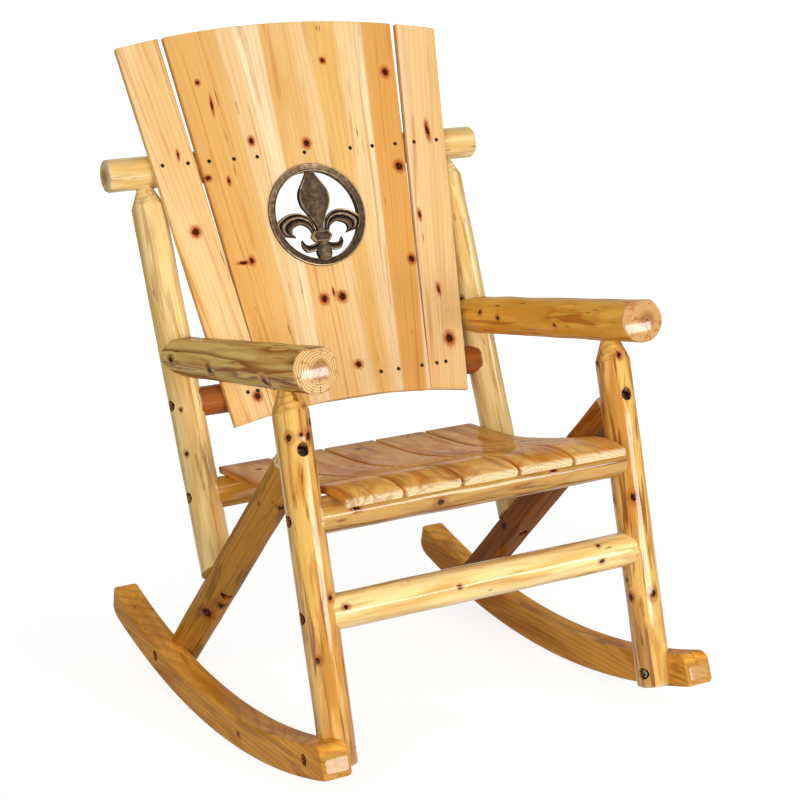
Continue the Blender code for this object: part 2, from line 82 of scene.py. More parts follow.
camera = {
    "location": (-1.3935, -2.7445, 1.2154),
    "azimuth": radians(-27.543),
    "elevation": radians(13.147),
    "roll": radians(-2.522),
    "lens": 85.746,
}
scene.camera = newObject("camera", bpy.data.cameras.new("camera"))
scene.camera.data.lens = camera["lens"]
pose = Matrix.Translation(camera["location"])
for angle, axis in ((camera["azimuth"], "Z"), (pi / 2 - camera["elevation"], "X"), (camera["roll"], "Z")):
    pose = pose @ Matrix.Rotation(angle, 4, axis)
scene.camera.matrix_world = pose
print("camera set")


# Nodes and colours

def hexColour(text):
    channels = [int(text[i:i + 2], 16) / 255 for i in (1, 3, 5)]
    return (*[c / 12.92 if c <= 0.04045 else ((c + 0.055) / 1.055) ** 2.4 for c in channels], 1)


# Inputs by index or name: a value, a hex colour, a socket to link or a list of sockets
def setInputs(tree, node, inputs):
    for key, value in inputs.items():
        for item in value if isinstance(value, list) else [value]:
            if isinstance(item, bpy.types.NodeSocket):
                tree.links.new(item, node.inputs[key])
            else:
                isHex = isinstance(item, str) and item.startswith("#")
                node.inputs[key].default_value = hexColour(item) if isHex else item


# Adds one node, a shader node if its kind has no family, with settings by name and a ramp's stops in hex or grey.
# Gives the output that is asked for, or all of them for None.
def addNode(tree, kind, inputs=None, stops=(), out=0, **settings):
    node = tree.nodes.new(kind if "Node" in kind else "ShaderNode" + kind)
    for key, value in settings.items():
        setattr(node, key, value)
    setInputs(tree, node, inputs or {})
    if stops:
        marks = node.color_ramp.elements
        while len(marks) < len(stops):
            marks.new(0.5)
        for mark, (place, tone) in zip(marks, stops):
            mark.position = place
            mark.color = hexColour(tone) if isinstance(tone, str) else (tone, tone, tone, 1)
    return node.outputs if out is None else node.outputs[out]


# A material, with what adds its nodes and what sets its shader
def newMaterial(name):
    material = bpy.data.materials.new(name)
    material.use_nodes = True
    tree = material.node_tree
    return material, partial(addNode, tree), partial(setInputs, tree, tree.nodes["Principled BSDF"])


# Light and stage: a light grey paper sweep behind and under the chair, in a dim room

stage = {"paper": "#A29F9A", "room": 0.15, "liftNear": 0.83, "liftFar": 0.97, "near": 0.7, "far": 2.2,
         "half": 1.8, "front": -3.6, "wall": 3.0, "top": 3.5, "bend": 1.0}
lamps = {  # those without gloss are kept out of the varnish
    "frontBox": {"at": (0.10, -3.1, 1.35), "size": (0.8, 1.4), "power": 25, "gloss": False},
    "lowStrip": {"at": (0.90, -3.0, 0.50), "size": (1.9, 0.52), "power": 43},
    "keyRight": {"at": (2.6, -1.5, 1.50), "size": (0.6, 0.6), "power": 12},
    "overhead": {"at": (0.5, 0.2, 3.0), "size": (1.6, 0.9), "power": 9, "gloss": False},
    "fillLeft": {"at": (-2.3, -2.3, 1.45), "size": (1.8, 1.8), "power": 60, "gloss": False},
    "backFill": {"at": (-0.9, 2.4, 2.2), "size": (1.6, 1.6), "power": 10, "gloss": False},
}
lampAim = Vector((0.0, 0.0, 0.6))


def addSweep():
    ahead = Vector((-sin(camera["azimuth"]), cos(camera["azimuth"]), 0))
    across = Vector((ahead.y, -ahead.x, 0)) * stage["half"]
    wall, bend = stage["wall"], stage["bend"]
    line = [(d, 0.0) for d in np.linspace(stage["front"], wall - bend, 12)]
    line += [(wall - bend * (1 - sin(t)), bend * (1 - cos(t))) for t in np.linspace(0, pi / 2, 17)[1:]]
    line.append((wall, stage["top"]))
    points = [ahead * d + across * s + Vector((0, 0, z)) for d, z in line for s in (-1, 1)]
    mesh = newMesh("sweep", points, [(2 * k, 2 * k + 1, 2 * k + 3, 2 * k + 2) for k in range(len(line) - 1)])
    mesh.shade_smooth()
    sweep = newObject("sweep", mesh)

    # Matt paper: where it is seen it is lifted to white, and keeps the soft shadow near the chair
    material, add, paint = newMaterial("whitePaper")
    path = add("LightPath", out=None)
    seen = path["Is Camera Ray"]
    for ray in ("Is Glossy Ray", "Is Transmission Ray"):
        seen = add("Math", {0: seen, 1: path[ray]}, operation="MAXIMUM")
    off = add("VectorMath", {0: add("TexCoord", out="Object")}, out="Value", operation="LENGTH")
    lift = add("MapRange", {0: off, 1: stage["near"], 2: stage["far"], 3: stage["liftNear"], 4: stage["liftFar"]},
               interpolation_type="SMOOTHSTEP")
    paint({"Base Color": stage["paper"], "Roughness": 0.9, "Specular IOR Level": 0.0, "Emission Color": (1, 1, 1, 1),
           "Emission Strength": add("Math", {0: lift, 1: seen}, operation="MULTIPLY")})
    mesh.materials.append(material)


def addStage():
    world = bpy.data.worlds.new("room")
    scene.world = world
    world.use_nodes = True
    setInputs(world.node_tree, world.node_tree.nodes["Background"],
              {"Color": (1, 1, 1, 1), "Strength": stage["room"]})
    addSweep()
    for name, lamp in lamps.items():
        light = bpy.data.lights.new(name, "AREA")
        light.shape = "RECTANGLE"
        light.size, light.size_y = lamp["size"]
        light.energy = lamp["power"]
        holder = newObject(name, light)
        holder.location = lamp["at"]
        holder.rotation_euler = (lampAim - holder.location).to_track_quat("-Z", "Y").to_euler()
        holder.visible_glossy = lamp.get("gloss", True)
    scene.view_settings.view_transform = "Standard"


addStage()
print("stage set")


# Wood. All of it is softwood under clear varnish: cream early wood, brown late wood lines, amber stains and
# red-brown knots. A piece carries "grain", its place in the stock it was cut from (across, across, along, in metres),
# "knot", the distance to its nearest knot in knot radii, which inside bolt bores is set to paint shade there,
# and "ends", 1 where the grain is cut across.
# Pattern sizes are in millimetres across, across and along the grain. Fibres are drawn coarser than real, to show.

# What all the wood shares: ranges of each mask, in knot radii for knots and metres for the pith
wood = {
    "noises": {"fibre": (4.0, 0.0), "stain": (4.0, 0.5), "streak": (3.0, 0.8), "fleck": (1.0, 0.0),
               "rag": (2.0, 0.0)},  # detail and distortion
    "ring": [(0.0, 0.0), (0.40, 0.08), (0.80, 0.7), (0.92, 1.0), (1.0, 0.0)],  # late wood across a ring
    "stain": (0.44, 0.62), "streak": (0.55, 0.66), "fleck": 0.06, "fleckShare": 0.75, "fleckTone": "#5A260A",
    "bulge": (0.4, 3.4), "rag": 0.65, "halo": (0.9, 2.6), "core": (0.75, 1.15), "heartShare": 0.6,
    "pith": (0.0008, 0.0024), "pithShare": 0.95, "pithTone": "#3A1606",
    "fibre": (0.28, 0.72), "fibreHigh": 1.05, "sheen": (0.2, 0.8), "dull": 0.1,
    "stainRelief": 0.8, "fibreRelief": 0.6, "reliefDepth": 0.0006, "stepWidth": 0.001,
    # a knot's brown core inside a dark bark line
    "knot": [(0.0, "#3E1204"), (0.35, "#5A1E06"), (0.62, "#2C0D03"), (0.85, "#180702"), (1.0, "#461604")],
}


def perMetre(sizes):
    return tuple(1000 / s for s in sizes)


def woodMaterial(name, look):
    material, add, paint = newMaterial(name)
    grain = add("Attribute", out="Vector", attribute_name="grain")
    knot, ends = [add("Attribute", out="Fac", attribute_name=label) for label in ("knot", "ends")]

    body = look["early"]
    if "staves" in look:  # glued boards: tones and hearts listed stave by stave across the back
        spread = look["spread"]
        place = add("MapRange", {0: add("SeparateXYZ", {0: grain}), 1: -spread, 2: spread})
        body = add("ValToRGB", {0: place}, [((x / spread + 1) / 2, tone) for x, tone in look["staves"]])
        hearts, before = [], look["hearts"][0][1]
        for x, shift in look["hearts"]:
            at = (x / spread + 1) / 2
            hearts += [(at - wood["stepWidth"], before), (at, shift)]
            before = shift
        heart = add("ValToRGB", {0: place}, hearts)
        heart = add("VectorMath", {0: heart, 1: look["heartShift"]}, operation="MULTIPLY")
        grain = add("VectorMath", {0: grain, 1: heart}, operation="ADD")

    # Rings wander slowly along the stock and bulge round knots
    spot = add("VectorMath", {0: grain, 1: perMetre(look["wanderSize"])}, operation="MULTIPLY")
    bent = add("TexNoise", {"Vector": spot, "Scale": 1.0, "Detail": 2.0}, out=1)
    sway = look["wander"] / 1000
    for operation, value in (("SUBTRACT", (0.5, 0.5, 0.5)), ("MULTIPLY", (sway, sway, 0)), ("ADD", grain)):
        bent = add("VectorMath", {0: bent, 1: value}, operation=operation)
    flat = add("VectorMath", {0: bent, 1: (1, 1, 0)}, operation="MULTIPLY")
    radius = add("VectorMath", {0: flat}, out="Value", operation="LENGTH")
    near, far = wood["bulge"]
    rings = add("MapRange", {0: knot, 1: near, 2: far, 3: look["bulge"] / 1000, 4: 0.0},
                interpolation_type="SMOOTHSTEP")
    for operation, value in (("ADD", radius), ("DIVIDE", look["ring"] / 1000), ("FRACT", 0.0)):
        rings = add("Math", {0: rings, 1: value}, operation=operation)
    late = add("ValToRGB", {0: rings}, wood["ring"])

    noises = {}
    for label, (detail, twist) in wood["noises"].items():
        spot = add("VectorMath", {0: bent, 1: perMetre(look[label + "Size"])}, operation="MULTIPLY")
        noises[label] = add("TexNoise", {"Vector": spot, "Scale": 1.0, "Detail": detail, "Distortion": twist})
    rag = add("MapRange", {0: noises["rag"], 3: -wood["rag"], 4: wood["rag"]})
    edge = add("Math", {0: knot, 1: rag}, operation="ADD")

    # Layers from the bottom up: mask, its range, the share at each end of it, and the tone
    layers = [
        (noises["stain"], wood["stain"], (0.0, look["stainShare"]), look["stain"]),
        (ends, (0.0, 1.0), (0.0, look["endShare"]), look["endTone"]),
        (late, (0.0, 1.0), (0.0, look["lateShare"]), look["late"]),
        (noises["streak"], wood["streak"], (0.0, look["streakShare"]), look["streak"]),
        (noises["fleck"], (look["fleckFrom"], look["fleckFrom"] + wood["fleck"]), (0.0, wood["fleckShare"]),
         wood["fleckTone"]),
        (edge, wood["halo"], (look["halo"], 0.0), look["haloTone"]),
        (edge, wood["core"], (1.0, 0.0), add("ValToRGB", {0: edge}, wood["knot"])),
    ]
    if "heartwood" in look:  # log ends: pale sapwood, a red-brown heart and a dark pith
        layers[4:4] = [(radius, look["heartwood"], (wood["heartShare"], 0.0), look["heart"]),
                       (radius, wood["pith"], (wood["pithShare"], 0.0), wood["pithTone"])]
    for mask, (low, high), (first, last), tone in layers:
        share = add("MapRange", {0: mask, 1: low, 2: high, 3: first, 4: last}, interpolation_type="SMOOTHSTEP")
        body = add("Mix", {0: share, 6: body, 7: tone}, out=2, data_type="RGBA")
    low, high = wood["fibre"]
    tone = add("MapRange", {0: noises["fibre"], 1: low, 2: high, 3: look["fibreLow"], 4: wood["fibreHigh"]})
    low, high = wood["sheen"]
    rough = add("MapRange", {0: noises["fibre"], 1: low, 2: high, 3: look["rough"] + wood["dull"], 4: look["rough"]})
    relief = late
    for label in ("stain", "fibre"):
        relief = add("Math", {0: noises[label], 1: wood[label + "Relief"], 2: relief}, operation="MULTIPLY_ADD")
    paint({
        "Base Color": add("VectorMath", {0: body, 1: tone}, operation="MULTIPLY"), "Roughness": rough,
        "Normal": add("Bump", {"Strength": look["bump"], "Distance": wood["reliefDepth"], "Height": relief}),
        "Specular IOR Level": look["specular"], "Coat Weight": look["coat"], "Coat Roughness": look["coatRough"],
    })
    if look["endCoat"] != look["coat"]:
        paint({"Coat Weight": add("MapRange", {0: ends, 3: look["coat"], 4: look["endCoat"]})})
    return material


# Peeled logs: the peeling runs in and out of the 4 mm rings, which show as long wavering bands
logLook = {
    "early": "#FADA94", "late": "#B4762A", "lateShare": 0.30, "stain": "#DEA64A", "stainShare": 0.55,
    "streak": "#A8642A", "streakShare": 0.45, "endTone": "#F0D6A4", "endShare": 0.85, "haloTone": "#9A4210",
    "ring": 4.0, "wander": 10, "wanderSize": (44, 44, 420), "bulge": 4, "fibreSize": (2.4, 2.4, 70),
    "fibreLow": 0.88, "stainSize": (22, 22, 240), "streakSize": (12, 12, 150), "fleckSize": (7, 7, 42),
    "fleckFrom": 0.73, "ragSize": (2.4, 2.4, 3.8), "halo": 0.7, "rough": 0.36, "bump": 0.14, "specular": 0.0,
    "coat": 0.75, "endCoat": 0.4, "coatRough": 0.09, "heartwood": (0.009, 0.018), "heart": "#A2561F",
}
# Front posts: the same logs with flames of heartwood
flameLook = dict(logLook, early="#E6B662", late="#985A16", lateShare=0.36, stain="#BC7828", stainShare=0.75,
                 streak="#743A08", streakShare=0.75, stainSize=(18, 18, 150), streakSize=(9, 9, 130))
# Front seat rail: tan sapwood, darker than the posts as painted shade under the slat noses
shadedTanRailLook = dict(flameLook, early="#CC9E54", late="#8A5418", stain="#A87232", streak="#6E3C10")
# Near arm: cut deeper into the rings, so that its bands are browner
bandedLook = dict(logLook, early="#EDC876", late="#94440C", lateShare=0.80, stain="#C48434", streak="#8A3A08",
                  streakShare=0.55, ring=3.6, wander=11, wanderSize=(30, 30, 520), bulge=3,
                  streakSize=(9, 9, 240), coat=0.16, endCoat=1.0, coatRough=0.11, heartwood=(0.011, 0.019),
                  heart="#7A3810", endTone="#E2BC80")
# Far arm: amber sapwood with a few soft bands
amberLook = dict(logLook, early="#F6BE52", late="#B06A1A", stain="#E0992F", streak="#A84A0E", streakShare=0.6,
                 wanderSize=(60, 60, 520), coat=0.16, endCoat=1.0, coatRough=0.11, heartwood=(0.006, 0.020),
                 heart="#7A3A18", endTone="#C89A68")
# Planed boards: straight fine grain, several staves glued edge to edge
boardLook = {
    "early": "#EFC98D", "late": "#C07A30", "lateShare": 0.14, "stain": "#DB9A48", "stainShare": 0.30,
    "streak": "#C0742A", "streakShare": 0.45, "endTone": "#DDAE6E", "endShare": 0.6, "haloTone": "#A8440E",
    "ring": 9.0, "wander": 14, "wanderSize": (110, 110, 480), "bulge": 9, "fibreSize": (3.0, 3.0, 170),
    "fibreLow": 0.955, "stainSize": (34, 34, 420), "streakSize": (10, 10, 330), "fleckSize": (6.5, 6.5, 62),
    "fleckFrom": 0.75, "ragSize": (2.4, 2.4, 3.8), "halo": 0.95, "rough": 0.42, "bump": 0.05, "specular": 0.12,
    "coat": 0.15, "endCoat": 0.15, "coatRough": 0.22, "spread": 0.31, "heartShift": (0.30, 0.05, 3.0),
    "staves": [
        (-0.305, "#EABF7D"), (-0.268, "#EDC17E"), (-0.250, "#F3CC8F"), (-0.192, "#F3CC8E"), (-0.186, "#DFA75C"),
        (-0.150, "#E3B066"), (-0.101, "#E5B46E"), (-0.096, "#F1CE98"), (-0.076, "#F0CB92"), (-0.071, "#FBE2B3"),
        (-0.043, "#F8DDAE"), (-0.038, "#EAB974"), (0.005, "#EBBE7C"), (0.036, "#F0CA8E"), (0.041, "#F3D19B"),
        (0.052, "#E8B96C"), (0.082, "#EBBD74"), (0.087, "#F4CD91"), (0.112, "#F6D59F"), (0.125, "#FBDFB1"),
        (0.129, "#E2A75C"), (0.183, "#DFA252"), (0.189, "#F2D2A4"), (0.205, "#F0C88C"), (0.260, "#EEC588"),
    ],
    "hearts": [(-0.31, 0.10), (-0.188, 0.85), (-0.098, 0.35), (-0.073, 0.62), (-0.040, 0.20), (0.040, 0.95),
               (0.084, 0.50), (0.127, 0.05), (0.186, 0.72)],
}
# Sawn runners: amber, with the long grain of a plank that the curve cuts across
runnerLook = dict(logLook, early="#F8B048", late="#9A560D", lateShare=0.32, stain="#D6882A", stainShare=0.8,
                  streak="#8E480E", endTone="#B4843E", ring=9.0, wander=24, wanderSize=(110, 110, 520),
                  stainSize=(42, 42, 280), streakSize=(25, 25, 200), fleckFrom=0.76, coat=0.14,
                  endCoat=0.6, coatRough=0.13)
del runnerLook["heartwood"]
# Scooped slats: the scoop cuts across the rings, so they open into arches. Their pale nose tone is end grain,
# lightened as painted light on the down-facing noses
slatLook = dict(runnerLook, early="#F6BC62", late="#A0541A", lateShare=0.30, stain="#D27E28", streak="#964E14",
                endTone="#FAE0AE", endShare=0.95, ring=6.0, wander=12, wanderSize=(90, 90, 330),
                stainSize=(50, 50, 250), coat=0.22, endCoat=0.3, coatRough=0.12)
# Slabbed near brace and rear seat rail: the same logs, darker and more olive
braceLook = dict(logLook, early="#CE9238", late="#784610", stain="#A87022", streak="#5A2E0A", lateShare=0.36,
                 coat=0.12, endCoat=0.12, heartwood=(0.0, 0.004))
# Far brace: a redder log, made darker as painted shade on the far side
shadedRedBraceLook = dict(braceLook, early="#B06A28", late="#66300A", stain="#8C5018", streak="#502408")
# Lower back rail: red-brown heartwood, darkened as painted shade under the arms
shadedHeartLook = dict(braceLook, early="#A8602A", late="#64300E", stain="#86481A", streak="#502409", coat=0.3)

peeledLog = woodMaterial("peeledPineVarnished", logLook)
flamedPost = woodMaterial("peeledPineFlamedVarnished", flameLook)
shadedTanRail = woodMaterial("peeledPineTanShadedVarnished", shadedTanRailLook)
bandedArm = woodMaterial("peeledPineBandedVarnished", bandedLook)
amberArm = woodMaterial("peeledPineAmberVarnished", amberLook)
planedBoard = woodMaterial("planedPineGluedVarnished", boardLook)
sawnRunner = woodMaterial("sawnPineVarnished", runnerLook)
scoopedSlat = woodMaterial("scoopedPineVarnished", slatLook)
slabbedLog = woodMaterial("slabbedPineVarnished", braceLook)
shadedHeartLog = woodMaterial("peeledHeartwoodShadedVarnished", shadedHeartLook)
shadedRedBraceLog = woodMaterial("slabbedRedPineShadedVarnished", shadedRedBraceLook)
print("wood mixed")


# Metals, with pattern sizes in millimetres

# Cast metal with dark bronze paint, rubbed back to a golden tone on the raised edges
bronze = {
    "sand": 1.1111, "cloud": 7.1429, "cloudShare": 0.9, "mostWorn": 1.4, "metallic": 0.75,
    "worn": (0.4, 1.3), "rough": (0.52, 0.34), "bump": 0.25, "bumpDepth": 0.0004,
    "tones": [(0.16, "#140E0B"), (0.34, "#3A2E25"), (0.56, "#735E49"), (0.74, "#A08465"), (0.90, "#D2B284")],
}
# Zinc-plated steel, turned: bright, with faint cloudy plating
steel = {"cloud": 3.125, "dull": 0.1}


def bronzeMaterial():
    material, add, paint = newMaterial("castBronzeRubbed")
    place = add("TexCoord", out="Object")
    rub = add("Attribute", out="Fac", attribute_name="rub")
    sand, cloud = [add("TexNoise", {"Vector": place, "Scale": 1000 / bronze[label], "Detail": 3.0})
                   for label in ("sand", "cloud")]
    worn = add("Math", {0: cloud, 1: bronze["cloudShare"], 2: rub}, operation="MULTIPLY_ADD")
    tone = add("Math", {0: worn, 1: bronze["mostWorn"]}, operation="DIVIDE")
    (low, high), (first, last) = bronze["worn"], bronze["rough"]
    paint({"Base Color": add("ValToRGB", {0: tone}, bronze["tones"]), "Metallic": bronze["metallic"],
           "Roughness": add("MapRange", {0: worn, 1: low, 2: high, 3: first, 4: last}),
           "Normal": add("Bump", {"Strength": bronze["bump"], "Distance": bronze["bumpDepth"], "Height": sand})})
    return material


def steelMaterial(name, dark, light, rough):
    material, add, paint = newMaterial(name)
    place = add("TexCoord", out="Object")
    cloud = add("TexNoise", {"Vector": place, "Scale": 1000 / steel["cloud"], "Detail": 3.0})
    paint({"Base Color": add("ValToRGB", {0: cloud}, [(0.35, dark), (0.65, light)]), "Metallic": 1.0,
           "Roughness": add("MapRange", {0: cloud, 3: rough + steel["dull"], 4: rough})})
    return material


rubbedBronze = bronzeMaterial()
platedSteel = steelMaterial("zincPlatedSteel", "#6A6862", "#B4B2AC", 0.28)
screwSteel = steelMaterial("yellowPassivatedSteel", "#2C2A20", "#5F5A44", 0.38)
print("metals mixed")


# Meshes

# Faces of a grid of points that closes across and, if asked, along
def gridFaces(rows, cols, closed=False):
    i, j = np.meshgrid(np.arange(rows if closed else rows - 1), np.arange(cols), indexing="ij")
    row, after, k = i * cols, (i + 1) % rows * cols, (j + 1) % cols
    return np.stack([row + j, row + k, after + k, after + j], -1).reshape(-1, 4).tolist()


def outward(mesh):
    bm = bmesh.new()
    bm.from_mesh(mesh)
    bmesh.ops.recalc_face_normals(bm, faces=bm.faces)
    bm.to_mesh(mesh)
    bm.free()
    return mesh


capShare = 0.9


# Skin through rings of equal length, closed at both ends: by a flat inner ring, or by one face for hollow outlines
def loft(rings, flatEnds=False):
    rings = [np.asarray(r, float) for r in rings]
    if not flatEnds:
        first, last = rings[0].mean(0), rings[-1].mean(0)
        rings = [first + (rings[0] - first) * capShare, *rings, last + (rings[-1] - last) * capShare]
    rows, cols = len(rings), len(rings[0])
    end = (rows - 1) * cols
    caps = [list(range(cols))[::-1], list(range(end, end + cols))]
    return outward(newMesh("skin", np.concatenate(rings), gridFaces(rows, cols) + caps))


sharpAngle = radians(38)


def makePiece(name, mesh, nodes, slot, material, **lists):
    storeValues(mesh, **lists)
    mesh.name = name
    mesh.materials.clear()
    mesh.materials.append(material)
    mesh.shade_smooth()
    mesh.set_sharp_from_angle(angle=sharpAngle)
    obj = newObject(name, mesh)
    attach(obj, "root")
    if nodes:
        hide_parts(*nodes)


# The object's mesh with its modifiers applied, in place of the object and its helpers
def applied(holder, *helpers):
    graph = bpy.context.evaluated_depsgraph_get()
    mesh = bpy.data.meshes.new_from_object(holder.evaluated_get(graph))
    for obj in (holder, *helpers):
        bpy.data.objects.remove(obj)
    return mesh


# The mesh less the tools, which are meshes too
def carved(mesh, tools):
    holder = newObject("stock", mesh)
    cutters = [newObject("cutter", tool) for tool in tools]
    for cutter in cutters:
        change = holder.modifiers.new("cut", "BOOLEAN")
        change.solver = "EXACT"
        change.object = cutter
    return applied(holder, *cutters)


def pointsOf(mesh):
    co = np.zeros(len(mesh.vertices) * 3, np.float32)
    mesh.vertices.foreach_get("co", co)
    return co.reshape(-1, 3).astype(float)


# One number or one vector for each point, by name
def storeValues(mesh, **lists):
    for label, values in lists.items():
        values = np.asarray(values, np.float32)
        kind, field = ("FLOAT", "value") if values.ndim == 1 else ("FLOAT_VECTOR", "vector")
        mesh.attributes.new(label, kind, "POINT").data.foreach_set(field, values.ravel())


farFromKnots = 6.0
endEdge = 1.3  # end grain shows in full on the end and fades over its eased edge


# Distance to the nearest knot in knot radii, knots as (along, across, radius along, radius across)
def knotField(along, across, knots):
    field = np.full(len(along), farFromKnots)
    for a, c, ra, rc in knots:
        field = np.minimum(field, np.hypot((along - a) / ra, (across - c) / rc))
    return field


# Logs

sides = {"left": -1, "right": 1}
# Lump waves as (waves round the log, share of the height, most waves in a metre); knots swell, with a dip inside
logShape = {
    "facets": 72, "step": 0.0035, "crisp": 0.0007, "neckFade": 0.02, "neckLumps": 0.25, "leanReach": 0.06,
    "waves": [(1, 0.5, 9), (2, 0.7, 9), (2, 0.4, 12), (3, 0.4, 9), (4, 0.25, 6), (7, 0.2, 4), (11, 0.2, 2),
              (15, 0.16, 2)],
    "swellAlong": 1.7, "swellAcross": 1.4, "swell": 0.16, "dip": 0.55, "dipNarrow": 5,
    "knotAlong": 1.5, "knotAcross": 1.2, "pithOff": 0.004, "apart": 1.7,
    "dome": (0.92, 0.8, 0.65, 0.5, 0.35, 0.2, 0.08),
}
plainLog = {"ease": 0.003, "lumps": 0.0003, "flats": (), "knots": (), "neck": (), "flare": 0, "dome": 0,
            "endTilt": (0, 0), "material": peeledLog}
# Bolt holes: their bottoms and walls take knot values, as painted shade
boltHole = {"radius": 0.0092, "reach": 0.05, "rim": 1.03, "floor": 0.001, "floorShade": 0.45, "wallShade": 1.2}
facetEdge = {"merge": 0.00001, "bend": 0.02, "share": 0.6}  # share of the longest edge
tuck = 0.0006  # how far coped ends run into the log they meet, so that no light shows between
copeBelow = 0.02  # how far below its post a cope's tool starts


# Axis, cross directions, radius and length of a round CAD node, read from its long facet edges
def readLog(node):
    bm = bmesh.new()
    bm.from_mesh(frame["nodes"][node].data)
    bmesh.ops.remove_doubles(bm, verts=bm.verts, dist=facetEdge["merge"])
    edges = [e for e in bm.edges if len(e.link_faces) == 2 and e.calc_face_angle(0) > facetEdge["bend"]]
    longest = max(e.calc_length() for e in edges)
    edges = [e for e in edges if e.calc_length() > facetEdge["share"] * longest]
    first = edges[0].verts[1].co - edges[0].verts[0].co
    way = Vector()
    for e in edges:
        d = (e.verts[1].co - e.verts[0].co).normalized()
        way += d if d.dot(first) > 0 else -d
    way.normalize()
    if (way.x if abs(way.x) > 0.5 else way.z) < 0:
        way = -way
    side = Vector((0, 1, 0)) if abs(way.x) > 0.5 else Vector((1, 0, 0))
    side = (side - way * side.dot(way)).normalized()
    over = way.cross(side)
    flat = np.array([[v.co.dot(side), v.co.dot(over)] for e in edges for v in e.verts])
    fit = np.linalg.lstsq(np.c_[2 * flat, np.ones(len(flat))], (flat ** 2).sum(1), rcond=None)[0]
    reach = [v.co.dot(way) for v in bm.verts]
    bm.free()
    start = side * fit[0] + over * fit[1] + way * min(reach)
    radius = np.hypot(*(flat - fit[:2]).T).max()
    return {"start": np.array(start), "axes": np.array([side, over, way]), "radius": radius,
            "length": max(reach) - min(reach)}


stock = {name: readLog(name) for name in [
    *[kind + side for kind in ("front_post_", "back_post_", "brace_", "arm_") for side in sides],
    "top_back_rail", "lower_back_rail", "rear_seat_rail", "front_seat_rail", "front_stretcher"]}
print("logs read:", len(stock))


# Section of a log as angles and radii, with corners exactly where its flats begin
def logSection(radius, flats):
    facets = logShape["facets"]
    angles = set(np.round(np.arange(facets) * 2 * pi / facets, 6))
    for angle, depth in flats:
        half = acos(depth / radius)
        angles |= {round((radians(angle) + s * half) % (2 * pi), 6) for s in (-1, 1)}
    angles = np.array(sorted(angles))
    radii = np.full(len(angles), radius)
    for angle, depth in flats:
        lean = np.cos(angles - radians(angle))
        radii = np.where(lean > 0.05, np.minimum(radii, depth / np.maximum(lean, 0.05)), radii)
    return angles, radii


def ringPoints(radii, angles, along):
    return np.stack([radii * np.cos(angles), radii * np.sin(angles), np.full(len(angles), along)], -1)


# Round tool along a log's axis: profile as (distance from the start, radius)
def roundTool(log, profile, facets=96):
    turns = np.arange(facets) * 2 * pi / facets
    return loft([log["start"] + ringPoints(radius, turns, along) @ log["axes"] for along, radius in profile])


# Turn from an angle in degrees, within half a turn
def turnFrom(angle, turn):
    return (turn - radians(angle) + pi) % (2 * pi) - pi


# Peeled log: faintly facetted and lumpy, swollen at its knots, eased at its ends
def growLog(log, look, seed):
    pick = np.random.default_rng(seed)
    radius, length, ease = log["radius"], log["length"], look["ease"]
    angles, radii = logSection(radius, look["flats"])
    along = np.linspace(ease, length - ease, int((length - 2 * ease) / logShape["step"]))
    neck = [(length - d, r) for d, r in reversed(look["neck"])]
    crisp = [place + s * logShape["crisp"] for place, _ in neck[:-1] for s in (-1, 1)]
    along = np.unique(np.concatenate([along, crisp]))
    turns = np.linspace(0, pi / 2, 5)[:-1]
    lead, inset = ease * (1 - np.sin(pi / 2 - turns)), ease * (1 - np.sin(turns))
    inset = np.concatenate([inset, np.zeros(len(along)), inset[::-1]])
    along = np.concatenate([lead, along, length - lead[::-1]])
    t, a = along[:, None], angles[None, :]
    lumps = np.zeros((len(along), len(angles)))
    for waves, size, quick in logShape["waves"]:
        pitch = pick.uniform(1, quick)
        lumps += size * np.sin(2 * pi * (pitch * t + pick.random()) + waves * a + 2 * pi * pick.random())
    lumps *= look["lumps"]
    for place, angle, size in look["knots"]:
        away = ((t - place) / (logShape["swellAlong"] * size)) ** 2
        away = away + (turnFrom(angle, a) * radius / (logShape["swellAcross"] * size)) ** 2
        dip = logShape["dip"] * np.exp(-logShape["dipNarrow"] * away)
        lumps += logShape["swell"] * size * (np.exp(-away) - dip)
    base = np.broadcast_to(radii, lumps.shape) * (1 + look["flare"] * t / length)
    if neck:
        base = np.minimum(base, np.interp(along, *zip(*neck))[:, None])
        lumps *= np.clip((neck[0][0] - t) / logShape["neckFade"], logShape["neckLumps"], 1)
    full = base + lumps - inset[:, None]
    rings = [ringPoints(row, angles, place) for row, place in zip(full, along)]
    if look["dome"]:
        rim = rings[-1]
        for share in logShape["dome"]:
            rings.append(rim * [share, share, 1] + [0, 0, look["dome"] * (1 - share ** 2)])
    reach = logShape["leanReach"]
    for local in rings:
        lean = np.clip((local[:, 2] - length + reach) / reach, 0, 1) ** 2
        local[:, 2] += lean * (local[:, :2] @ np.array(look["endTilt"]))
    return loft([log["start"] + local @ log["axes"] for local in rings])


# Where each bolt sits: seat of its head and the way it faces
def readBolt(node):
    log = readLog(node)
    local = (pointsOf(frame["nodes"][node].data) - log["start"]) @ log["axes"].T
    wide = local[np.hypot(local[:, 0], local[:, 1]) > 1.2 * log["radius"]][:, 2]  # the head's points
    headFirst = wide.mean() < log["length"] / 2
    seat, facing = (wide.max(), -log["axes"][2]) if headFirst else (wide.min(), log["axes"][2])
    return {"seat": log["start"] + log["axes"][2] * seat, "facing": facing,
            "shank": log["length"] - (wide.max() - wide.min())}


bolts = {name: readBolt(name) for name in frame["nodes"] if "_bolt_" in name}
nuts = [name for name in frame["nodes"] if "_nut_" in name]
drilled = dict(bolts)
for name in nuts:  # a nut's pocket opens to the middle of the chair
    low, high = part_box(name)
    inward = -1.0 if low.x > 0 else 1.0
    face = high.x if inward < 0 else low.x
    drilled[name] = {"seat": np.array([face, (low.y + high.y) / 2, (low.z + high.z) / 2]),
                     "facing": np.array([inward, 0, 0])}


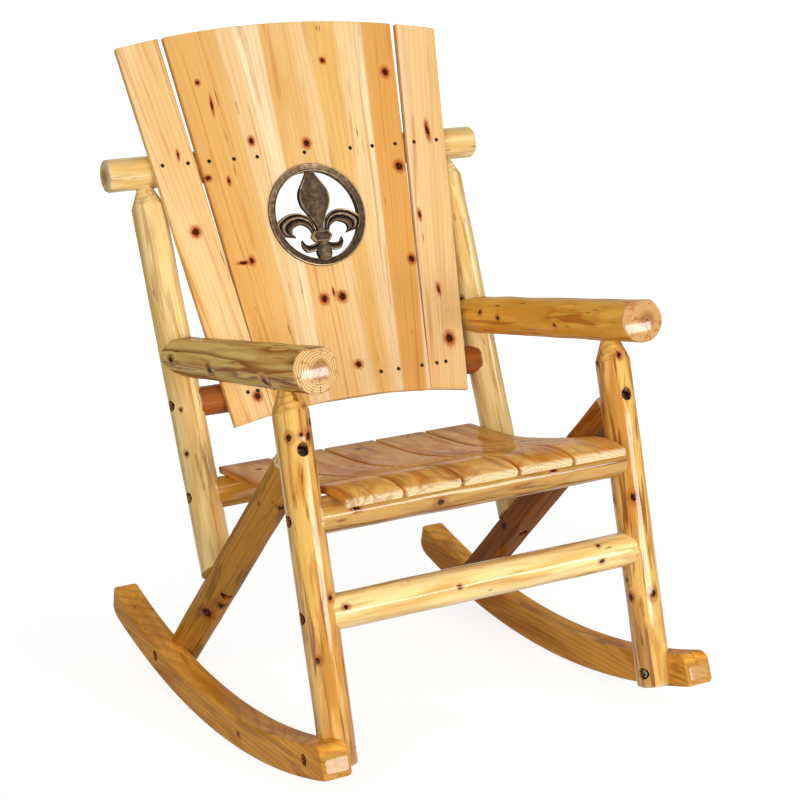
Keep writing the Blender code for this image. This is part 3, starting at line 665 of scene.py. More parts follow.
def boltTools(names):
    tools = []
    for bolt in [drilled[name] for name in names]:
        facing = Vector(bolt["facing"])
        side = facing.orthogonal().normalized()
        log = {"start": bolt["seat"], "axes": np.array([side, facing.cross(side), facing])}
        tools.append(roundTool(log, [(along, boltHole["radius"]) for along in (0.0, boltHole["reach"])], 40))
    return tools


# Bores are painted as dark as knots: painted shade on their bottoms and walls
def shadedBores(at, knot, names):
    for bore in [drilled[name] for name in names]:
        away = at - bore["seat"]
        out = away @ bore["facing"]
        off = np.linalg.norm(away - np.outer(out, bore["facing"]), axis=1)
        inside = (off < boltHole["rim"] * boltHole["radius"]) & (out > -boltHole["floor"])
        tone = np.where(out < boltHole["floor"], boltHole["floorShade"], boltHole["wallShade"])
        knot = np.where(inside, tone, knot)
    return knot


# One log of the chair, cut by the tools and bored for the bolts and nuts named
def makeLog(name, seed, look, tools, bores=()):
    look, log = {**plainLog, **look}, stock[name]
    mesh = carved(growLog(log, look, seed), [*tools, *boltTools(bores)])
    pick = np.random.default_rng(seed + 500)
    at = pointsOf(mesh)
    local = (at - log["start"]) @ log["axes"].T
    x, y, along = local.T
    turn, depth = np.arctan2(y, x), np.hypot(x, y)
    knot = np.full(len(local), farFromKnots)
    for place, angle, size in look["knots"]:
        across = turnFrom(angle, turn) * depth / (logShape["knotAcross"] * size)
        knot = np.minimum(knot, np.hypot((along - place) / (logShape["knotAlong"] * size), across))
    roll = pick.uniform(0, 2 * pi)
    pith = look.get("pith", pick.uniform(-logShape["pithOff"], logShape["pithOff"], 2))
    grain = np.stack([x * cos(roll) - y * sin(roll) + pith[0], x * sin(roll) + y * cos(roll) + pith[1],
                      along + logShape["apart"] * seed], -1)
    lean = local[:, :2] @ np.array(look["endTilt"])
    nearEnd = np.minimum(along, log["length"] + lean - along)
    makePiece(name + "_log", mesh, [name], "peeled_log", look["material"], grain=grain,
              knot=shadedBores(at, knot, bores), ends=np.clip(endEdge - nearEnd / look["ease"], 0, 1))


# Runners' shape, which the posts and braces are notched over
runner = {
    "radius": 1.437, "depth": 0.052, "tongue": 0.006, "reach": 0.449, "edge": 0.004, "columns": 190, "lead": 0.018,
    "toe": {"top": 0.022, "sole": 0.010, "side": 0.006}, "heel": {"top": 0.010, "sole": 0.034, "side": 0.012},
    "heart": (0.02, 0.055), "shift": {"left": 0.9, "right": 2.3}, "endGrain": 0.004, "knotDepth": 0.003,
    "knotFade": 400,
    "knots": {"left": [(-0.13, 0.032, 0.005, 0.004)],
              "right": [(0.2878, 0.0821, 0.006, 0.005), (0.11, 0.05, 0.005, 0.004)]},
    "bed": {"turn": 0.36, "below": -0.2, "outside": 0.1, "across": 0.5},
}
runnerBox = {side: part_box("rocker_" + side) for side in sides}


def arcPoint(turn, height):
    return ((runner["radius"] - height) * sin(turn), runner["radius"] - (runner["radius"] - height) * cos(turn))


# Prism below a height above the runner's sole, between two x
def bedTool(height, low, high):
    bed = runner["bed"]
    top = [arcPoint(t, height) for t in np.linspace(-bed["turn"], bed["turn"], 73)]
    ring = [(top[0][0], bed["below"]), (top[-1][0], bed["below"])] + top[::-1]
    return loft([[(x, y, z) for y, z in ring] for x in (low, high)], True)


# The runner's place under a post or brace, open to the outside
def notchTool(side):
    sign = sides[side]
    inner = runnerBox[side][0 if sign > 0 else 1].x
    return bedTool(runner["depth"], *sorted((inner, inner + sign * runner["bed"]["outside"])))


# A brace's side of its flat top, where the back post's foot is cut off
def footTool(side):
    log, wide = stock["brace_" + side], footBlock["half"]
    corners = ((-wide, -wide), (wide, -wide), (wide, 0), (-wide, 0))
    return loft([[log["start"] + np.array([x, braceTop + y, t]) @ log["axes"] for x, y in corners]
                 for t in footBlock["along"]])


# A post's own shape, which the logs that meet it are coped to
def copeTool(kind, side):
    log, neck = stock[kind + side], posts[kind]["neck"]
    (_, slim), (tenon, _), (taper, _) = neck[:3]
    wide, slim, length = log["radius"] - tuck, slim - tuck, log["length"]
    return roundTool(log, [(-copeBelow, wide), (length - taper, wide), (length - tenon, slim), (length, slim)])


# Posts, with necks as (distance from the top, radius) and knots as (along, angle, size)
posts = {
    "front_post_": {
        "neck": [(0.0, 0.0155), (0.026, 0.0155), (0.057, 0.0278), (0.0575, 0.040)], "ease": 0.004,
        "seed": 11, "material": flamedPost, "cut": notchTool,
        "bores": ("front_rail_bolt_", "stretcher_bolt_", "brace_bolt_", "rocker_front_nut_"),
        "left": [(0.509, -43, 0.0040), (0.4915, -129, 0.0035), (0.4934, -91, 0.0025), (0.4901, -66, 0.0040),
                 (0.2511, -68, 0.0028), (0.1631, -135, 0.0030), (0.300, 40, 0.004), (0.150, 95, 0.005)],
        "right": [(0.5346, -98, 0.0035), (0.525, 176, 0.0035), (0.308, -112, 0.0045), (0.1513, -89, 0.0045),
                  (0.1485, -168, 0.0040), (0.305, 165, 0.0035), (0.1758, -177, 0.0025), (0.42, 60, 0.004)],
    },
    "back_post_": {
        "neck": [(0.0, 0.0145), (0.021, 0.0145), (0.051, 0.0282), (0.0515, 0.040)],
        "seed": 21, "cut": footTool, "bores": ("rear_rail_bolt_", "lower_rail_bolt_", "arm_bolt_"),
        "left": [(0.2085, -140, 0.0028), (0.2813, -131, 0.0022), (0.52, 30, 0.004), (0.36, 110, 0.005)],
        "right": [(0.40, -150, 0.003), (0.18, 80, 0.004), (0.55, 60, 0.005)],
    },
}
braceTop = 0.022
footBlock = {"half": 0.12, "along": (-0.1, 1.0)}
for number, side in enumerate(sides):
    for kind, post in posts.items():
        makeLog(kind + side, post["seed"] + number, dict(post, knots=post[side]), [post["cut"](side)],
                [label + side for label in post["bores"]])
print("posts grown")

# Braces, slabbed flat on three sides: flats as (angle, depth)
braces = {
    "left": {"flats": [(90, braceTop), (0, 0.0215), (-142, 0.0203)], "material": slabbedLog,
             "knots": [(0.6311, -95, 0.0035), (0.2348, -131, 0.0075), (0.2804, -96, 0.005), (0.45, 60, 0.004)]},
    "right": {"flats": [(90, braceTop), (180, 0.0215), (-90, 0.0217)], "material": shadedRedBraceLog,
              "knots": [(0.30, 170, 0.005), (0.52, -150, 0.004), (0.40, 10, 0.005)]},
}
for number, (side, look) in enumerate(braces.items()):
    wide = runner["bed"]["across"]
    tools = [copeTool("front_post_", side), notchTool(side), bedTool(runner["tongue"], -wide, wide)]
    makeLog("brace_" + side, 31 + number, look, tools, ["foot_bolt_" + side, "rocker_rear_nut_" + side])
print("braces grown")

# Arms, planed flat on top, with sawn ends that have begun to split
arms = {
    "both": {"flats": [(90, 0.029)], "lumps": 0.0004, "ease": 0.0035, "dome": 0.004},
    "left": {"knots": [(0.0477, -177, 0.0045), (0.2107, -161, 0.0045), (0.4193, -148, 0.0050), (0.30, 30, 0.005),
                       (0.13, -40, 0.004)], "pith": (0.002, 0.004), "flare": 0.05, "endTilt": (-0.02, 0.0),
             "split": -84, "material": bandedArm},
    "right": {"knots": [(0.3337, -166, 0.0025), (0.1536, -179, 0.003), (0.0918, 166, 0.003), (0.40, 10, 0.006),
                        (0.22, -30, 0.005)], "pith": (-0.004, 0.002), "flare": 0.03, "endTilt": (0.10, -0.04),
              "split": -70, "material": amberArm},
    "wedge": {"from": 0.006, "to": 0.05, "thin": 0.0002, "ends": [(-0.012, 0.0003), (0.02, 0.0012)]},
}


# Wedge that opens from the pith to the rim at a log's end
def splitTool(log, angle):
    wedge = arms["wedge"]
    way = np.array([cos(radians(angle)), sin(radians(angle))])
    off = np.array([-way[1], way[0]])
    rings = []
    for t, wide in wedge["ends"]:
        near, far, thin, wide = way * wedge["from"], way * wedge["to"], off * wedge["thin"], off * wide
        flat = [near - thin, far - wide, far + wide, near + thin]
        rings.append([log["start"] + np.array([*p, log["length"] + t]) @ log["axes"] for p in flat])
    return loft(rings, True)


for number, side in enumerate(sides):
    name, look = "arm_" + side, {**arms["both"], **arms[side]}
    tools = [copeTool(kind, side) for kind in posts] + [splitTool(stock[name], look["split"])]
    makeLog(name, 41 + number, look, tools)
print("arms grown")

# Rails between the posts that they are coped to
boardLean = 160.33
rails = {
    "top_back_rail": {"flats": [(boardLean, 0.026)], "ease": 0.006, "posts": "back_post_", "knots": [
        (0.12, 60, 0.004), (0.40, -20, 0.005), (0.60, 100, 0.004)]},
    "lower_back_rail": {"flats": [(boardLean, 0.024)], "posts": "back_post_", "material": shadedHeartLog, "knots": [
        (0.20, 20, 0.004), (0.41, -60, 0.005)]},
    "rear_seat_rail": {"flats": [(170, 0.0215), (230, 0.0225)], "posts": "back_post_", "material": slabbedLog,
                       "knots": [(0.15, 10, 0.005), (0.44, -30, 0.004)]},
    "front_seat_rail": {"posts": "front_post_", "material": shadedTanRail, "knots": [
        (0.0568, 159, 0.0038), (0.1988, -168, 0.0040), (0.3996, 158, 0.0035), (0.30, -20, 0.005)]},
    "front_stretcher": {"posts": "front_post_", "knots": [
        (0.4670, -178, 0.0030), (0.4667, 129, 0.0022), (0.0194, 152, 0.0030), (0.2104, 166, 0.0028),
        (0.33, 20, 0.005)]},
}
seatRails = ("rear_seat_rail", "front_seat_rail")
# Seat slats follow one crown line. Grain moves from slat to slat, over a heart below the seat.
seat = {
    "crown": [(0.1280, 0.3965), (0.0500, 0.3995), (-0.0300, 0.4048), (-0.1100, 0.4178), (-0.1900, 0.4345),
              (-0.2500, 0.4490), (-0.2900, 0.4560), (-0.3250, 0.4573), (-0.3520, 0.4533), (-0.3620, 0.4495)],
    "thick": 0.012, "edge": 0.0016, "step": 0.004, "play": 0.0002, "sidePlay": 0.001, "above": 0.04,
    "endRound": 0.0008, "noseStart": 0.0009, "paleLitNose": 0.010,
    "grainStep": 0.012, "grainMiddle": 1.6, "heart": 0.355, "apart": 0.83,
    "knots": [[(0.06, -0.20, 0.005, 0.004)], [], [(0.0791, -0.0058, 0.004, 0.004)],
              [(0.1095, 0.1075, 0.003, 0.003)], [(-0.12, 0.20, 0.005, 0.005)]],
}


# Even points on a smooth line through the given ones
def flowing(points, spacing):
    points = np.asarray(points, float)
    ends = np.vstack([2 * points[0] - points[1], points, 2 * points[-1] - points[-2]])
    fine = []
    for i in range(1, len(ends) - 2):
        p, q, r, s = ends[i - 1:i + 3]
        for t in np.linspace(0, 1, 24, endpoint=False):
            ease = t * t * (3 - 2 * t)
            fine.append(q + (r - q) * ease + (r - p) * 0.5 * t * (1 - t) ** 2 - (s - q) * 0.5 * t * t * (1 - t))
    fine = np.array(fine + [points[-1]])
    run = np.concatenate([[0], np.cumsum(np.hypot(*np.diff(fine, axis=0).T))])
    at = np.linspace(0, run[-1], max(int(run[-1] / spacing), 4) + 1)
    return np.stack([np.interp(at, run, fine[:, k]) for k in range(2)], -1), at


crown, crownRun = flowing(seat["crown"], seat["step"])
crownWay = np.gradient(crown, axis=0)
crownWay /= np.linalg.norm(crownWay, axis=1)[:, None]
crownUp = np.stack([crownWay[:, 1], -crownWay[:, 0]], -1)


# The space of the slats, cut from the rails below them
def seatTool():
    half = -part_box("seat_slat_1")[0].x + seat["sidePlay"]
    low = crown - crownUp * (seat["thick"] + seat["play"])
    ring = np.vstack([low, (crown + crownUp * seat["above"])[::-1]])
    return loft([[(x, *p) for p in ring] for x in (-half, half)], True)


for number, (name, look) in enumerate(rails.items()):
    tools = [copeTool(look["posts"], side) for side in sides] + ([seatTool()] if name in seatRails else [])
    makeLog(name, 51 + number, look, tools)
print("rails grown")


# Runners: a rounded rectangle swept along the arc, rounded at toe and heel

# Outline of a rounded rectangle, with points along its level and upright sides
def roundedBox(low, high, bottom, top, edge, across, up):
    corner = [(edge * (1 - sin(t)), edge * (1 - cos(t))) for t in np.linspace(0, pi / 2, 4)]
    level, upright = np.linspace(low + edge, high - edge, across), np.linspace(bottom + edge, top - edge, up)[1:-1]
    return [*[(x, bottom) for x in level[:-1]], *[(high - a, bottom + b) for a, b in corner],
            *[(high, z) for z in upright], *[(high - b, top - a) for a, b in corner],
            *[(x, top) for x in level[-2:0:-1]], *[(low + a, top - b) for a, b in corner],
            *[(low, z) for z in upright[::-1]], *[(low + b, bottom + a) for a, b in corner[:-1]]]


# How far a rounded end draws in, at a distance from that end
def rounding(distance, radius):
    return radius - (radius ** 2 - max(radius - distance, 0.0) ** 2) ** 0.5 if distance < radius else 0.0


for side in sides:
    low, high = runnerBox[side]
    half = np.arcsin(runner["reach"] / runner["radius"])
    inner = half - runner["lead"]
    lead = runner["lead"] * (1 - np.cos(np.linspace(0, pi / 2, 16)))
    turns = np.concatenate([lead - half, np.linspace(-inner, inner, runner["columns"])[1:-1], half - lead[::-1]])
    rings = []
    for turn in turns:
        end = runner["toe"] if turn < 0 else runner["heel"]
        away = (half - abs(turn)) * runner["radius"]
        bottom, top = rounding(away, end["sole"]), runner["depth"] - rounding(away, end["top"])
        slim = rounding(away, end["side"])
        edge = min(runner["edge"], (top - bottom) / 2.2)  # the very ends are lower than two roundings
        section = roundedBox(low.x + slim, high.x - slim, bottom, top, edge, 9, 10)
        rings.append([(x, *arcPoint(turn, h)) for x, h in section])
    bores = ["rocker_front_bolt_" + side, "rocker_rear_bolt_" + side]
    mesh = carved(loft(rings), boltTools(bores))
    at = pointsOf(mesh)
    x, y, z = at.T
    grain = np.stack([x - low.x + runner["heart"][0], z + runner["heart"][1], y + runner["shift"][side]], -1)
    deep = max(-low.x, high.x) - abs(x)  # knots show on the outer face alone
    knot = knotField(y, z, runner["knots"][side]) + runner["knotFade"] * np.clip(deep - runner["knotDepth"], 0, 1)
    away = (half - abs(np.arctan2(y, runner["radius"] - z))) * runner["radius"]
    makePiece("rocker_%s_runner" % side, mesh, ["rocker_" + side], "sawn_pine", sawnRunner, grain=grain,
              knot=shadedBores(at, knot, bores), ends=np.clip(1 - away / runner["endGrain"], 0, 1))
print("runners sawn")


# Seat slats: a rounded board swept along the crown line

screwSpots = []  # point and outward direction of every wood screw
for number, knots in enumerate(seat["knots"]):
    name = "seat_slat_%d" % (number + 1)
    low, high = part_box(name)
    rings = []
    for (y, z), up, run in zip(crown, crownUp, crownRun):
        slim = rounding(min(run, crownRun[-1] - run), seat["endRound"])
        section = roundedBox(low.x + slim, high.x - slim, slim - seat["thick"], -slim, seat["edge"], 24, 4)
        rings.append([(x, y + up[0] * h, z + up[1] * h) for x, h in section])
    mesh = loft(rings)
    middle = (low.x + high.x) / 2
    for rail in seatRails:
        near = np.argmin(abs(crown[:, 0] - stock[rail]["start"][1]))
        screwSpots.append(((middle, *crown[near]), (0, *crownUp[near])))
    at = pointsOf(mesh)
    x, y, z = at.T
    grain = np.stack([x - middle + seat["grainStep"] * (number - seat["grainMiddle"]), z - seat["heart"],
                      y + seat["apart"] * number], -1)
    # The nose fades into the pale end tone: end grain, lightened as painted light on the down-facing fronts
    nose = (at[:, 1:] - crown[-1]) @ crownWay[-1] + seat["noseStart"]
    makePiece(name + "_scooped", mesh, [name], "sawn_pine", scoopedSlat, grain=grain, knot=knotField(y, x, knots),
              ends=np.clip(1 + nose / seat["paleLitNose"], 0, 1))
print("slats scooped")


# Back boards, in their own plane: x across, s up the slope, n to the front

board = {
    "foot": (0.0912, 0.4679), "lean": radians(19.67), "thick": 0.012, "edge": 0.0011, "step": 0.0027,
    "topCrown": (0.682, 0.300), "footCrown": (0.0195, 0.400), "fanHeight": 0.6545,
    "outer": (0.2217, 0.3024), "panel": (0.1490, 0.2143), "gap": (0.0004, 0.0105),
    "fanFrom": 0.04, "fanOver": 0.06, "fanShare": 0.72, "fanMiddle": 0.35,
}
boardKnots = [  # s, x, radius along, radius across
    (0.3325, -0.2250, 0.0062, 0.0058), (0.586, -0.1700, 0.0035, 0.0030), (0.545, -0.1525, 0.0110, 0.0018),
    (0.4775, -0.0940, 0.0055, 0.0038), (0.465, 0.0075, 0.0058, 0.0052), (0.609, 0.0690, 0.0040, 0.0038),
    (0.580, 0.1860, 0.0062, 0.0054), (0.409, 0.1760, 0.0066, 0.0062), (0.2425, 0.1635, 0.0058, 0.0050),
    (0.4675, 0.2460, 0.0120, 0.0030), (0.3185, 0.1965, 0.0070, 0.0024), (0.1825, 0.2035, 0.0070, 0.0024),
    (0.094, 0.2050, 0.0078, 0.0066), (0.1925, -0.0175, 0.0062, 0.0056), (0.1925, 0.0165, 0.0062, 0.0060),
    (0.202, 0.0020, 0.0050, 0.0016), (0.0725, 0.0215, 0.0046, 0.0052), (0.4125, -0.1485, 0.0050, 0.0024),
    (0.421, -0.1850, 0.0038, 0.0045), (0.271, -0.1510, 0.0024, 0.0075), (0.2725, -0.1360, 0.0050, 0.0040),
    (0.045, -0.1735, 0.0056, 0.0050), (0.465, -0.2300, 0.0060, 0.0018),
]
screw = {"radius": 0.0032, "tip": 0.0014, "head": 0.0022, "slot": 0.0008, "slotShare": 1.25, "sunk": 0.0007,
         "seed": 4}
screwHole = {"radius": 0.0036, "above": 0.002}
screwRows = {0.4497: [0, 0.0885, 0.1315, 0.177, 0.215, 0.2605], 0.0545: [0.061, 0.095, 0.141, 0.171, 0.189]}
boardUp = np.array([0, sin(board["lean"]), cos(board["lean"])])
boardFront = np.array([0, -cos(board["lean"]), sin(board["lean"])])
boardFoot = np.array([0, *board["foot"]])


def onBoard(x, s, n=0.0):
    return boardFoot + np.array([x, 0, 0]) + boardUp * s + boardFront * n


# Heights of a board's foot and top at x
def boardEnds(x):
    return [height - fall * x * x for height, fall in (board["footCrown"], board["topCrown"])]


# Board between two fanned edges, its ends following the crown lines
def boardMesh(left, right):
    def across(line, s):
        return line[0] + (line[1] - line[0]) * s / board["fanHeight"]

    low, high = boardEnds(0)
    rows, cols = int((high - low) / board["step"]), int(abs(right[1] - left[1]) / board["step"])
    edge, thick = board["edge"], board["thick"]
    lead = edge * (1 - np.cos(np.linspace(0, pi / 2, 4)[:-1]))
    rings = []
    for v in np.concatenate([lead, np.linspace(edge, 1 - edge, rows), 1 - lead[::-1]]):
        slim = rounding(min(v, 1 - v), edge)
        level = low + (high - low) * v
        start = across(left, level)
        wide = across(right, level) - start
        ring = []
        for w, n in roundedBox(slim, wide - slim, slim - thick, -slim, edge, cols, 4):
            foot, top = boardEnds(start + w)
            s = foot + (top - foot) * v
            ring.append(onBoard(across(left, s) + (across(right, s) - across(left, s)) * w / wide, s, n))
        rings.append(ring)
    return loft(rings)


def finishBoard(name, mesh):
    at = pointsOf(mesh) - boardFoot
    x, s, n = at[:, 0], at @ boardUp, at @ boardFront
    fan = np.clip((np.abs(x) - board["fanFrom"]) / board["fanOver"], 0, 1)
    fan = fan * fan * (3 - 2 * fan) * board["fanShare"]
    grain = np.stack([x / (1 + fan * (s - board["fanMiddle"])), n, s], -1)
    foot, top = boardEnds(x)
    makePiece(name + "_planed", mesh, [name], "planed_board", planedBoard, grain=grain,
              knot=knotField(s, x, boardKnots),
              ends=np.clip(endEdge - np.minimum(s - foot, top - s) / board["edge"], 0, 1))


# Small tools that sink the screw heads
def screwTools(spots):
    tools = bmesh.new()
    for spot, facing in spots:
        turn = Vector(facing).to_track_quat("Z", "Y").to_matrix().to_4x4()
        bmesh.ops.create_cone(tools, cap_ends=True, segments=20, radius1=screwHole["radius"],
                              radius2=screwHole["radius"], depth=2 * screw["sunk"] + screwHole["above"],
                              matrix=Matrix.Translation(Vector(spot)) @ turn)
    mesh = bpy.data.meshes.new("screwTools")
    tools.to_mesh(mesh)
    tools.free()
    return mesh


boardSpots = []
for height, row in screwRows.items():
    for x in sorted({s * x for x in row for s in (-1, 1)}):
        boardSpots.append((tuple(onBoard(x, height)), tuple(boardFront)))
screwSpots += boardSpots

medal = {"centre": 0.3388, "radius": 0.0903, "inner": 0.0772, "hole": 0.0828, "spigot": 0.0826, "back": -0.008,
         "drill": (0.01, -0.03)}


def onMedal(x, y, n):
    return onBoard(x, medal["centre"] + y, n)


turns = np.arange(128) * 2 * pi / 128
hole = loft([[onMedal(medal["hole"] * cos(t), medal["hole"] * sin(t), n) for t in turns] for n in medal["drill"]])
panel, outer = np.array(board["panel"]), np.array(board["outer"])
inner = panel + board["gap"]
for name, left, right, tools in (("back_panel", -panel, panel, [hole]), ("back_board_right", inner, outer, []),
                                 ("back_board_left", -outer, -inner, [])):
    finishBoard(name, carved(boardMesh(left, right), [*tools, screwTools(boardSpots)]))
print("boards planed")


# Medallion: ring and lily in relief, drawn in units of the ring's radius

def mirrored(half):
    return half + [(-offset, height, worn) for offset, height, worn in half[-2::-1]]


def flipped(line):
    return np.asarray(line) * np.array([-1, 1])


relief = {"floor": -0.0030, "height": 0.0032, "rise": 0.0006, "tail": -0.0006, "petal": 0.0008, "drop": 0.0012,
          "endSteps": 3, "endShare": 0.25, "dark": -0.3}
# Sections as (place from edge to edge, share of the height, wear)
rimmed = mirrored([(-1.0, 0.0, -0.3), (-0.96, 0.72, 0.4), (-0.90, 0.90, 0.8), (-0.82, 0.74, 0.25),
                   (-0.60, 0.80, 0.30), (-0.30, 0.90, 0.36), (0.0, 0.95, 0.42)])
grooved = [(-1.0, 0.0, -0.3), (-0.94, 0.8, 0.5), (-0.84, 1.0, 0.9), (-0.70, 0.80, 0.2), (-0.56, 0.30, -0.3),
           (-0.42, 0.75, 0.2), (-0.24, 0.95, 0.9), (-0.04, 0.80, 0.2), (0.10, 0.30, -0.3), (0.26, 0.62, 0.1),
           (0.55, 0.78, 0.3), (0.84, 0.70, 0.6), (1.0, 0.0, -0.3)]
domed = mirrored([(-1.0, 0.0, -0.3), (-0.9, 0.5, 0.2), (-0.5, 0.86, 0.3), (0.0, 1.0, 0.6)])
creased = [(-1.0, 0.0, -0.3), (-0.85, 0.75, 0.8), (-0.5, 0.8, 0.3), (-0.2, 0.35, -0.3), (0.15, 0.7, 0.3),
           (0.6, 0.75, 0.3), (0.85, 0.6, 0.8), (1.0, 0.0, -0.3)]
petalHalf = [(0.0, 0.90), (0.085, 0.82), (0.185, 0.66), (0.290, 0.50), (0.328, 0.36), (0.300, 0.18), (0.195, 0.01),
             (0.085, -0.20), (0.060, -0.42)]
curlOuter = [(0.070, -0.42), (0.105, -0.28), (0.155, -0.10), (0.270, 0.025), (0.470, 0.078), (0.690, 0.030),
             (0.875, -0.10), (0.880, -0.22), (0.775, -0.345), (0.530, -0.405)]
curlInner = [(0.165, -0.45), (0.185, -0.335), (0.240, -0.235), (0.385, -0.165), (0.545, -0.228), (0.575, -0.320),
             (0.520, -0.400)]
dropHalf = [(0.085, -0.46), (0.105, -0.55), (0.150, -0.66), (0.158, -0.76), (0.120, -0.85), (0.070, -0.91)]
tailUpper = [(0.060, -0.47), (0.130, -0.53), (0.250, -0.562), (0.345, -0.545), (0.412, -0.465)]
tailLower = [(0.050, -0.60), (0.150, -0.69), (0.345, -0.700), (0.435, -0.590), (0.420, -0.462)]
collarHalf = [(0.160, -0.325), (0.225, -0.420), (0.160, -0.520)]
# The collar in steps (share of its outline, height, wear), the ring in (from its outer or inner edge, height, wear)
collarSteps = [(1.0, -0.003, 0), (1.0, 0.0040, 0.6), (0.93, 0.0052, 1.0), (0.80, 0.0054, 0.8), (0.72, 0.0046, 0.0),
               (0.66, 0.0047, 0.2), (0.1, 0.0050, 0.3)]
ringOuter = [(0.0, 0.0003, 0.0), (0.0, 0.0034, 0.2), (-0.0006, 0.0046, 0.8), (-0.0016, 0.0050, 0.8),
             (-0.0026, 0.0045, 0.35)]
ringInner = [(0.0036, 0.0040, 0.35), (0.0024, 0.0034, 0.0), (0.0014, 0.0044, 0.7), (0.0006, 0.0042, 0.9),
             (0.0, 0.0030, 0.2), (0.0, medal["back"], 0)]


def evenLine(points, count):
    line, run = flowing(points, 0.004)
    at = np.linspace(0, run[-1], count)
    return np.stack([np.interp(at, run, line[:, k]) for k in range(2)], -1)


# Relief strip between two edges; returns its mesh with the rub of each point
def strip(first, second, section, lift, count=40):
    a, b = evenLine(first, count), evenLine(second, count)
    rings = []
    for k in range(count):
        end = min(1.0, min(k, count - 1 - k) / relief["endSteps"] + relief["endShare"])
        ring = [(offset, lift + relief["height"] * height * end) for offset, height, _ in section]
        ring += [(1.0, relief["floor"]), (-1.0, relief["floor"])]
        rings.append([onMedal(*((a[k] * (1 - offset) + b[k] * (1 + offset)) / 2 * medal["radius"]), n)
                      for offset, n in ring])
    return loft(rings, True), ([worn for _, _, worn in section] + [relief["dark"]] * 2) * count


def turnedRing(profile, count=144):
    turns = 2 * pi * np.arange(count) / count
    points = [onMedal(r * cos(t), r * sin(t), n) for t in turns for r, n, _ in profile]
    mesh = newMesh("ring", points, gridFaces(count, len(profile), True))
    return outward(mesh), [worn for _, _, worn in profile] * count


def stepped(outline, steps):
    outline = np.asarray(outline) * medal["radius"]
    middle = outline.mean(0)
    rings = [[onMedal(*p, n) for p in middle + (outline - middle) * share] for share, n, _ in steps]
    return loft(rings, True), [worn for _, _, worn in steps for _ in outline]


def castMedallion():
    profile = [(medal["spigot"], medal["back"], 0), (medal["spigot"], ringOuter[0][1], 0)]
    for edge, steps in ((medal["radius"], ringOuter), (medal["inner"], ringInner)):
        profile += [(edge + off, n, worn) for off, n, worn in steps]
    shapes = [turnedRing(profile)]
    lift = relief["rise"]
    for turn in (np.asarray, flipped):
        shapes.append(strip(turn(curlOuter), turn(curlInner), grooved, lift, 64))
        shapes.append(strip(turn(tailUpper), turn(tailLower), creased, lift + relief["tail"]))
    shapes.append(strip(petalHalf, flipped(petalHalf), rimmed, lift + relief["petal"], 64))
    shapes.append(strip(dropHalf, flipped(dropHalf), domed, lift + relief["drop"]))
    shapes.append(stepped(np.vstack([collarHalf, flipped(collarHalf)[::-1]]), collarSteps))
    bm = bmesh.new()
    rubs = []
    for shape, rub in shapes:
        bm.from_mesh(shape)
        rubs += rub
        bpy.data.meshes.remove(shape)
    mesh = bpy.data.meshes.new("medallion")
    bm.to_mesh(mesh)
    bm.free()
    makePiece("medallion_casting", mesh, ["medallion"], "rubbed_bronze", rubbedBronze, rub=rubs)


castMedallion()
print("medallion cast")


# Fasteners, by geometry nodes: shapes set on points, facing the way each point says

plainScale = (1, 1, 1)
bolt = {"head": 0.007, "tall": 0.0055, "socket": 0.003, "thread": 0.004, "seed": 7}
nut = {"across": 0.007, "tall": 0.007, "thread": 0.0043, "bore": 0.05, "seed": 9}


# Countersunk wood screws with a cross recess
def drawScrew(add, given):
    cone = add("GeometryNodeMeshCone", {"Vertices": 24, "Radius Top": given["radius"],
                                        "Radius Bottom": given["tip"], "Depth": given["head"]})
    wide = add("Math", {0: given["radius"], 1: given["slotShare"]}, operation="MULTIPLY")
    up = add("CombineXYZ", {2: given["head"]})
    cross = []
    for order in (0, 1):
        size = add("CombineXYZ", {order: wide, 1 - order: given["slot"], 2: given["slot"]})
        bar = add("GeometryNodeMeshCube", {"Size": size})
        cross.append(add("GeometryNodeTransform", {"Geometry": bar, "Translation": up}))
    cut = add("GeometryNodeMeshBoolean", {"Mesh 1": cone, "Mesh 2": cross}, operation="DIFFERENCE", solver="EXACT")
    drop = add("Math", {0: given["head"], 1: given["sunk"]}, operation="ADD")
    down = add("CombineXYZ", {2: add("Math", {0: drop, 1: -1.0}, operation="MULTIPLY")})
    return [(add("GeometryNodeTransform", {"Geometry": cut, "Translation": down}), plainScale)]


# Bolts with a round head, a hexagon socket and a plain shank
def drawBolt(add, given):
    body, key = [add("GeometryNodeMeshCylinder", {"Vertices": count, "Radius": given[label], "Depth": given["tall"]})
                 for count, label in ((32, "head"), (6, "socket"))]
    up = add("CombineXYZ", {2: add("Math", {0: given["tall"], 1: 0.5}, operation="MULTIPLY")})
    key = add("GeometryNodeTransform", {"Geometry": key, "Translation": up})
    head = add("GeometryNodeMeshBoolean", {"Mesh 1": body, "Mesh 2": key}, operation="DIFFERENCE", solver="EXACT")
    head = add("GeometryNodeTransform", {"Geometry": head, "Translation": up})
    rod = add("GeometryNodeMeshCylinder", {"Vertices": 20, "Radius": given["thread"], "Depth": 1.0})
    rod = add("GeometryNodeTransform", {"Geometry": rod, "Translation": (0, 0, -0.5)})
    shank = add("GeometryNodeInputNamedAttribute", {"Name": "shank"}, data_type="FLOAT")
    return [(head, plainScale), (rod, add("CombineXYZ", {0: 1.0, 1: 1.0, 2: shank}))]


# Hexagon nuts
def drawNut(add, given):
    body = add("GeometryNodeMeshCylinder", {"Vertices": 6, "Radius": given["across"], "Depth": given["tall"]})
    bore = add("GeometryNodeMeshCylinder", {"Vertices": 24, "Radius": given["thread"], "Depth": given["bore"]})
    shape = add("GeometryNodeMeshBoolean", {"Mesh 1": body, "Mesh 2": bore}, operation="DIFFERENCE", solver="EXACT")
    return [(shape, plainScale)]


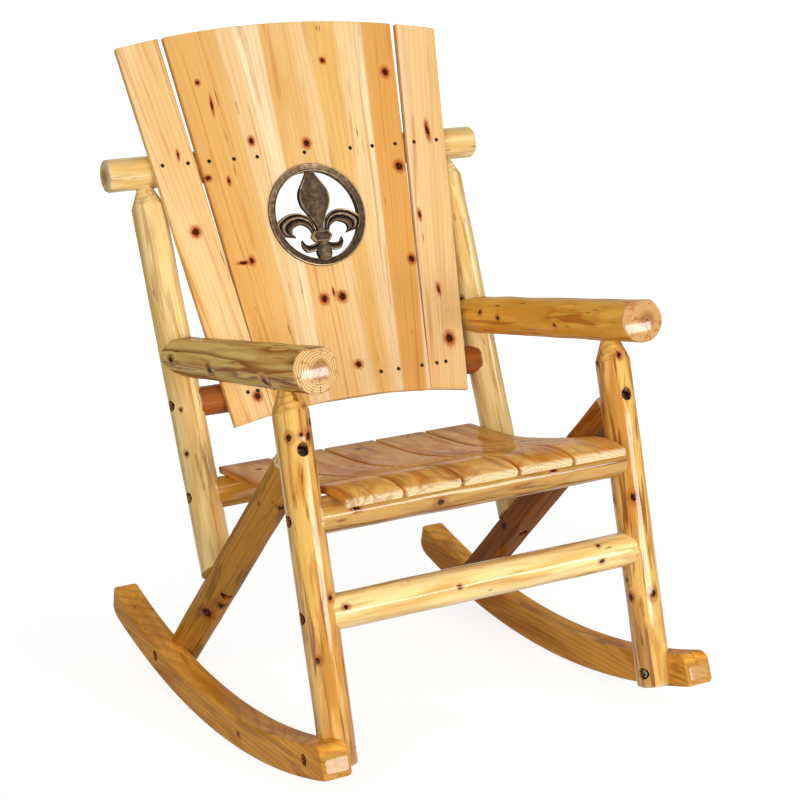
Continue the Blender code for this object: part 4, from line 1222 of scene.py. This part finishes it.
# One piece of fasteners, each turned about its own axis by the seed
def setFasteners(name, spots, values, draw, material, nodes=(), **lists):
    points = newMesh(name + "Points", [at for at, _ in spots])
    storeValues(points, facing=[facing for _, facing in spots], **lists)
    tree = bpy.data.node_groups.new(name, "GeometryNodeTree")
    for way in ("INPUT", "OUTPUT"):
        tree.interface.new_socket(name="Geometry", in_out=way, socket_type="NodeSocketGeometry")
    keys = {}
    for label, value in values.items():
        kind = "NodeSocketInt" if label == "seed" else "NodeSocketFloat"
        keys[tree.interface.new_socket(name=label, in_out="INPUT", socket_type=kind).identifier] = value
    add = partial(addNode, tree)
    given = add("NodeGroupInput", out=None)
    facing = add("GeometryNodeInputNamedAttribute", {"Name": "facing"}, data_type="FLOAT_VECTOR")
    chance = add("FunctionNodeRandomValue", {2: 0.0, 3: 2 * pi, "Seed": given["seed"]}, out=1)
    spin = add("FunctionNodeEulerToRotation", {0: add("CombineXYZ", {2: chance})})
    turn = add("FunctionNodeAlignRotationToVector", {"Rotation": spin, "Vector": facing}, axis="Z")
    placed = [add("GeometryNodeInstanceOnPoints", {"Points": given["Geometry"], "Instance": shape, "Rotation": turn,
                                                   "Scale": scale}) for shape, scale in draw(add, given)]
    real = add("GeometryNodeRealizeInstances", {0: add("GeometryNodeJoinGeometry", {0: placed})})
    done = add("GeometryNodeSetMaterial", {"Geometry": real, "Material": material})
    setInputs(tree, tree.nodes.new("NodeGroupOutput"), {0: done})
    holder = newObject(name + "Points", points)
    modifier = holder.modifiers.new(name, "NODES")
    modifier.node_group = tree
    for key, value in keys.items():
        modifier[key] = value
    makePiece(name, applied(holder), nodes, "bolt_steel", material)


setFasteners("wood_screws", screwSpots, screw, drawScrew, screwSteel)
setFasteners("frame_bolts", [(b["seat"], b["facing"]) for b in bolts.values()], bolt, drawBolt, platedSteel,
             list(bolts), shank=[b["shank"] for b in bolts.values()])
nutSpots = []
for name in nuts:
    low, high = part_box(name)
    nutSpots.append(((low + high) / 2, (1, 0, 0)))
setFasteners("frame_nuts", nutSpots, nut, drawNut, platedSteel, nuts)
print("fasteners set")
